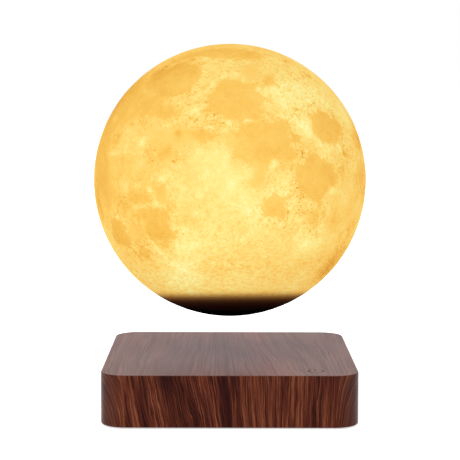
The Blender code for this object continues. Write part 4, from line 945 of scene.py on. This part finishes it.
def walnut_material():
    """Wood foil over the housing, grain front to back and down the edges, with painted sheen and highlight.
    """
    s = Shader("dark walnut foil")
    place = s.vector("SCALE", s.place)
    place.node.inputs["Scale"].default_value = 1 / MM
    inner = s.vector("MINIMUM", s.vector("MAXIMUM", place, (-INNER_HALF,) * 3), (INNER_HALF,) * 3)
    outward = s.vector("NORMALIZE", s.vector("MULTIPLY", s.vector("SUBTRACT", place, inner), (1, 1, 0)))
    x, y, z = s.split(place)
    out_x, out_y, _ = s.split(outward)
    down = s.maths("MAXIMUM", s.minus(BASE_TOP / MM, z), 0)
    across = s.plus(x, s.times(down, out_x))
    along = s.plus(y, s.times(down, out_y))

    # The grain leans on the front and sweeps over the top, and it wanders a little
    lean = s.span(across, -30, 48, 0.2, -0.02, "SMOOTHSTEP")
    sweep = s.span(across, -34, 28, -0.055, 0.1, "SMOOTHSTEP")
    swept = s.span(s.maths("ABSOLUTE", across), 32, 75, 1, 0.1, "SMOOTHSTEP")
    sweep = s.times(sweep, swept)
    grain = s.minus(across, s.times(lean, down))
    grain = s.plus(grain, s.times(sweep, s.plus(y, HALF_BASE / MM)))
    for across_scale, along_scale, layer, swing in ((0.05, 0.022, 3, 5), (0.3, 0.07, 9, 2.2)):
        where = s.joined(s.times(across, across_scale), s.times(along, along_scale), layer)
        grain = s.plus(grain, s.total((s.noise(where, 1, 2), swing), middle=0.5))

    def lines(across_scale, along_scale, layer, detail=2, roughness=0.5):
        where = s.joined(s.times(grain, across_scale), s.times(along, along_scale), layer)
        return s.noise(where, 1, detail, roughness)

    share = s.span(grain, -FIGURE_HALF, FIGURE_HALF)
    stops = [((at + FIGURE_HALF) / (2 * FIGURE_HALF), tone) for at, tone in FIGURE]
    figure = s.ramp(share, stops, "B_SPLINE")
    broad = lines(0.16, 0.006, 1)
    middle = lines(0.55, 0.012, 2, 3)
    thin = lines(1.7, 0.022, 3, 2, 0.6)
    hair = lines(4.2, 0.06, 4, 2, 0.6)
    soft = s.total((broad, 0.4), (middle, 1.2), (thin, 2.1), (hair, 1.8), middle=0.5)
    dark = s.span(lines(0.48, 0.009, 6, 1), 0.53, 0.6)
    light = s.span(lines(0.6, 0.011, 7, 1), 0.53, 0.61)
    narrow = s.span(lines(1.1, 0.02, 8, 1), 0.5, 0.58)
    crisp = s.total((dark, -0.22), (light, 0.18), (narrow, -0.24))
    pores = s.span(lines(3.4, 0.16, 5, 1), 0.66, 0.76)
    flat_top = s.span(down, 0.02, 0.2, 1, 0)
    off_top = s.between(flat_top, 1, 0)
    pores = s.times(pores, off_top)
    tone = s.total((figure, 0.88), (soft, 1), (crisp, 1), (pores, -0.2))
    tone = s.plus(tone, 0.18, clamp=True)
    colour = s.ramp(tone, [(at, scaled(shade, WOOD_ALBEDO)) for at, shade in WOOD_COLOURS])

    fine_film = s.total((lines(0.7, 0.007, 13), 3), (lines(1.5, 0.011, 14), 3.8), middle=0.5)
    worn = s.span(lines(0.06, 0.012, 16), 0.42, 0.62, 0.4, 1.4)
    film = s.total((lines(0.07, 0.022, 15, 3), 1.6), (lines(0.26, 0.007, 12), 1.7), middle=0.5)
    film = s.plus(film, s.times(fine_film, worn))
    film = s.plus(film, 0.5, clamp=True)
    warm = s.span(s.off(grain, WARM_BAND), 4, 20, 1, 0, "SMOOTHSTEP")
    # warmer towards the middle as well: painted, to offset how the moon greys the top beneath it
    warm = s.maths("MAXIMUM", warm, s.span(s.maths("ABSOLUTE", x), 15, 55, 0.5, 0))
    # painted sheen and lift on the top
    top_colour = s.mix(TOP_SHEEN_VEIL, colour, TOP_SHEEN_COLOUR)
    top_colour = s.tinted(top_colour, s.mix(film, TOP_LIFT_DARKER, TOP_LIFT_LIGHTER))
    # painted sheen: cooler towards the front
    top_colour = s.tinted(top_colour, s.mix(s.span(y, 30, -80), PLAIN_TINT, TOP_FRONT_SHEEN))
    top_colour = s.tinted(top_colour, s.mix(warm, PLAIN_TINT, TOP_WARM))
    # painted sheen down the rounded corners
    corner = s.span(s.maths("ABSOLUTE", s.times(out_x, out_y)), 0.12, 0.5, 0, CORNER_SHEEN_VEIL)
    colour = s.mix(corner, colour, CORNER_SHEEN)
    colour = s.mix(flat_top, colour, top_colour)
    # painted highlight along the top's rounded edge
    edge = s.times(s.span(down, 0, 0.04), s.span(down, 0.1, 0.32, EDGE_HIGHLIGHT_VEIL, 0))
    colour = s.mix(edge, colour, EDGE_HIGHLIGHT)
    s.set(Base_Color=colour, IOR=1.14)
    s.set(Roughness=s.total((s.spread(middle, 0.28, 0.32), 1), (pores, 0.2)))
    height = s.total((thin, 0.4), (hair, 0.3), (pores, -1))
    s.bump(s.times(height, off_top), 4e-5)
    return s.material


def plain_material(name, dark, light, scale, roughness, bump, metallic=0, stretch=(1, 1, 1), **settings):
    """A finish from two noises: colour from dark to light, roughness between limits and a fine bump."""
    s = Shader(name)
    where = s.vector("MULTIPLY", s.place, stretch)
    broad = s.noise(where, scale, 4, 0.55)
    grainy = s.noise(where, scale * 7, 3, 0.6)
    s.set(Base_Color=s.ramp(s.spread(broad), [(0, dark), (1, light)]), Metallic=metallic)
    s.set(Roughness=s.spread(grainy, *roughness), **settings)
    s.bump(s.plus(grainy, s.times(broad, 0.5)), bump)
    return s.material


RING_PITCH = 0.0006
BAND_PITCH = 0.0005
# the wave node's own period at scale 1
WAVE_PERIOD = math.tau / 20
COPPER_COLOURS = [(0, (0.1, 0.025, 0.008)), (0.5, (0.52, 0.17, 0.05)), (1, (0.8, 0.34, 0.12))]


def wound_material(name, pitch, kind):
    """Enamelled copper wire laid side by side, in flat rings or in bands up a bobbin."""
    s = Shader(name)
    inputs = {"Vector": s.place, "Scale": WAVE_PERIOD / pitch, "Distortion": 0.3}
    wave = s.node("TexWave", inputs, wave_type=kind, rings_direction="Z", bands_direction="Z")
    turns = wave.outputs["Fac"]
    patch = s.noise(s.place, 300)
    shade = s.times(turns, s.spread(patch, 0.75, 1))
    s.set(Base_Color=s.ramp(shade, COPPER_COLOURS))
    s.set(Metallic=0.85, Roughness=s.spread(patch, 0.28, 0.42))
    s.bump(turns, pitch * 0.4)
    return s.material


def board_material():
    """Green solder mask with lighter green traces along the cells' edges."""
    s = Shader("circuit board")
    trace = s.span(s.cells(s.place, 210, "DISTANCE_TO_EDGE", 0.55), 0.07, 0.1, 1, 0)
    grain = s.noise(s.place, 900)
    mask = s.ramp(s.spread(grain), [(0, (0.006, 0.055, 0.02)), (1, (0.01, 0.085, 0.03))])
    s.set(Base_Color=s.mix(trace, mask, (0.03, 0.17, 0.06)), Roughness=s.spread(grain, 0.35, 0.5))
    s.bump(s.plus(trace, s.times(grain, 0.2)), 3e-5)
    return s.material


def lamp_material():
    """Yellow phosphor of a lit LED."""
    s = Shader("lit phosphor")
    grain = s.noise(s.place, 1500)
    colour = s.ramp(s.spread(grain), [(0, (0.85, 0.5, 0.1)), (1, (1, 0.7, 0.22))])
    s.set(Base_Color=colour, Emission_Color=colour, Emission_Strength=2)
    s.set(Roughness=s.spread(grain, 0.4, 0.6))
    s.bump(grain, 4e-5)
    return s.material


# dark and light colour or grey, scale, limits of roughness, bump in metres, metallic and stretch
PLAIN_FINISHES = {
    "black_plastic": (0.012, 0.02, 160, (0.42, 0.58), 4e-5),
    "chip_plastic": (0.015, 0.026, 700, (0.5, 0.65), 2e-5),
    "white_plastic": ((0.72, 0.71, 0.68), (0.8, 0.79, 0.77), 140, (0.4, 0.55), 3e-5),
    "frosted_plastic": ((0.8, 0.76, 0.66), (0.88, 0.84, 0.74), 220, (0.55, 0.7), 5e-5),
    "foot_rubber": (0.01, 0.02, 420, (0.75, 0.9), 6e-5),
    "lead_rubber": ((0.3, 0.012, 0.01), (0.42, 0.02, 0.016), 500, (0.5, 0.65), 3e-5),
    "screw_steel": ((0.42, 0.42, 0.43), (0.6, 0.6, 0.61), 500, (0.25, 0.4), 2e-5, 1, (1, 1, 5)),
    "plate_steel": ((0.46, 0.46, 0.47), (0.62, 0.62, 0.63), 90, (0.28, 0.45), 2e-5, 1, (1, 8, 1)),
    "nickel_plate": ((0.58, 0.55, 0.5), (0.7, 0.67, 0.61), 240, (0.14, 0.26), 1e-5, 1),
    "capacitor_can": ((0.5, 0.5, 0.51), (0.68, 0.68, 0.69), 260, (0.3, 0.42), 2e-5, 1, (1, 1, 6)),
    "led_board_plate": ((0.74, 0.74, 0.72), (0.84, 0.84, 0.82), 300, (0.35, 0.5), 3e-5),
    "ferrite": ((0.022, 0.021, 0.02), (0.05, 0.048, 0.045), 420, (0.5, 0.75), 8e-5),
    "copper_pad": ((0.62, 0.26, 0.12), (0.8, 0.38, 0.19), 260, (0.25, 0.4), 2e-5, 1),
}
# the cap: dark plastic kept near black and without any reflection, painted shade of the moon's unlit bottom
CAP_AND_SHADE_FINISH = ((0.0008, 0.0004, 0.0006), (0.0016, 0.0008, 0.001), 140, (0.6, 0.8), 4e-5)
FLAT_COILS = ("transmitter_coil", "receiver_coil")


def cad_materials():
    """The finish of each slot, with two for copper wire."""
    made = {}
    for slot, finish in PLAIN_FINISHES.items():
        made[slot] = plain_material(slot.replace("_", " "), *finish)
    made["cap_plastic"] = plain_material("cap plastic", *CAP_AND_SHADE_FINISH, Specular_IOR_Level=0)
    made["copper_rings"] = wound_material("copper rings", RING_PITCH, "RINGS")
    made["copper_bands"] = wound_material("copper bands", BAND_PITCH, "BANDS")
    made["circuit_board"] = board_material()
    made["led_phosphor"] = lamp_material()
    return made


# The pieces


def housing():
    """The base's shell: a rounded slab with its cavity, bosses, socket hole and engraved mark."""
    levels = []
    for low, sign in ((BASE_BOTTOM, 1), (BASE_TOP, -1)):
        arc = []
        for step in range(EDGE_STEPS + 1):
            turn = math.pi / 2 * step / EDGE_STEPS
            inset = EDGE * (1 - math.sin(turn))
            height = low + sign * EDGE * (1 - math.cos(turn))
            arc.append((rounded_square(HALF_BASE - inset, BASE_CORNER - inset), height))
        levels += arc if sign == 1 else arc[::-1]
    body = loft("housing_walnut", levels)
    below = BASE_BOTTOM - OVERRUN
    cut(body, "cavity", rounded_square(HALF_CAVITY, CAVITY_CORNER, SMALL_STEPS), below, CAVITY_TOP)
    corners = [(x * BOSS_PLACE, y * BOSS_PLACE) for x in (-1, 1) for y in (-1, 1)]
    for place in corners:
        combine(body, cylinder("boss", BOSS_RADIUS, REBATE_TOP, CAVITY_TOP + OVERRUN / 4, place), "UNION")
    rebate = rounded_square(HALF_REBATE, CAVITY_CORNER + HALF_REBATE - HALF_CAVITY, SMALL_STEPS)
    cut(body, "rebate", rebate, below, REBATE_TOP)
    for place in corners:
        pilot = cylinder("pilot", PILOT_RADIUS, REBATE_TOP - OVERRUN, PILOT_TOP, place, 2 * SMALL_STEPS)
        combine(body, pilot, "DIFFERENCE")
    hole = cylinder("socket_hole", SOCKET_HOLE, HALF_CAVITY - OVERRUN, HALF_BASE + OVERRUN)
    hole.data.transform(Matrix.Translation((0, 0, SOCKET_HEIGHT)) @ Matrix.Rotation(-math.pi / 2, 4, "X"))
    combine(body, hole, "DIFFERENCE")

    start, sweep = math.pi / 2 + MARK_GAP / 2, math.tau - MARK_GAP
    turns = [start + sweep * step / MARK_STEPS for step in range(MARK_STEPS + 1)]
    mark_x, mark_y = MARK_PLACE
    half = MARK_LINE / 2
    ring = [
        (mark_x + radius * math.cos(turn), mark_y + radius * math.sin(turn))
        for radius, order in ((MARK_RADIUS + half, turns), (MARK_RADIUS - half, turns[::-1]))
        for turn in order
    ]
    middle = mark_y + MARK_RADIUS - MARK_BAR / 4
    bar = [(mark_x + x * half, middle + y * MARK_BAR / 2) for x, y in SQUARE]
    for name, outline in (("mark_ring", ring), ("mark_bar", bar)):
        cut(body, name, outline, BASE_TOP - MARK_DEPTH, BASE_TOP + OVERRUN)
    body.data.shade_smooth()
    body.data.set_sharp_from_angle(angle=HOUSING_SHARP)
    weighted = body.modifiers.new("weighted", "WEIGHTED_NORMAL")
    weighted.keep_sharp = True
    weighted.weight = 100
    return body


moon = moon_globe()
dress(moon, moon_material(), "moon", "moon_plastic", "moon_shade")
dress(housing(), walnut_material(), "base", "walnut", "base_housing")

FINISHES = cad_materials()
for name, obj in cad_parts.items():
    if name in ("moon_shade", "base_housing"):
        continue
    slot = obj.material_slots[0].material.name.split(".")[0]
    if slot == "copper_wire":
        slot = "copper_rings" if name in FLAT_COILS else "copper_bands"
    obj.material_slots[0].material = FINISHES[slot]

# The floor, the surroundings, the lights and the camera


def floor_material():
    s = Shader("pale floor")
    mottle = s.noise(s.place, 6)
    s.set(Base_Color=s.ramp(mottle, [(0.3, 0.8), (0.7, 0.82)]))
    s.set(Roughness=s.spread(mottle, 0.8, 0.9))
    s.set(Emission_Color=(1, 1, 1, 1), Emission_Strength=0.6, Specular_IOR_Level=0)
    return s.material


FLOOR_HALF = 6
floor = mesh_object("floor", [(x * FLOOR_HALF, y * FLOOR_HALF, 0) for x, y in SQUARE], [[0, 1, 2, 3]])
floor.data.materials.append(floor_material())

world = bpy.data.worlds.new("studio")
world.use_nodes = True
world.node_tree.nodes["Background"].inputs[0].default_value = (1, 1, 1, 1)
world.node_tree.nodes["Background"].inputs[1].default_value = 1
bpy.context.scene.world = world
bpy.context.scene.view_settings.view_transform = "Standard"


def soft_light(name, place, target, size, power):
    light = bpy.data.lights.new(name, "AREA")
    light.size = size
    light.energy = power
    obj = link(bpy.data.objects.new(name, light))
    obj.location = place
    obj.rotation_mode = "QUATERNION"
    obj.rotation_quaternion = (Vector(target) - Vector(place)).to_track_quat("-Z", "Y")
    return obj


soft_light("key", (-0.5, -1.5, 1.15), (0, 0, 0.14), 0.9, 15.5)
# the light from behind leaves the sheen on the base's top to the surroundings
soft_light("back", (0.1, 1.5, 0.9), (0, 0, 0.03), 2.4, 21).visible_glossy = False

# The camera as it was fitted to the photo: lens and sensor in mm, place in metres, turns in radians
CAMERA_LENS = 116.41
CAMERA_SENSOR = 36
CAMERA_PLACE = (-0.0035, -0.9862, 0.2149)
CAMERA_YAW = -0.0037
CAMERA_DOWN = 0.0996
CAMERA_ROLL = 0.0026

camera = bpy.data.cameras.new("camera")
camera.lens = CAMERA_LENS
camera.sensor_width = CAMERA_SENSOR
camera.clip_start = 0.05
camera.clip_end = 40
view = link(bpy.data.objects.new("camera", camera))
yaw = Matrix.Rotation(CAMERA_YAW, 4, "Z")
pitch = Matrix.Rotation(math.pi / 2 - CAMERA_DOWN, 4, "X")
roll = Matrix.Rotation(CAMERA_ROLL, 4, "Z")
view.matrix_world = Matrix.Translation(CAMERA_PLACE) @ (yaw @ pitch @ roll)
bpy.context.scene.camera = view

bpy.context.view_layer.update()
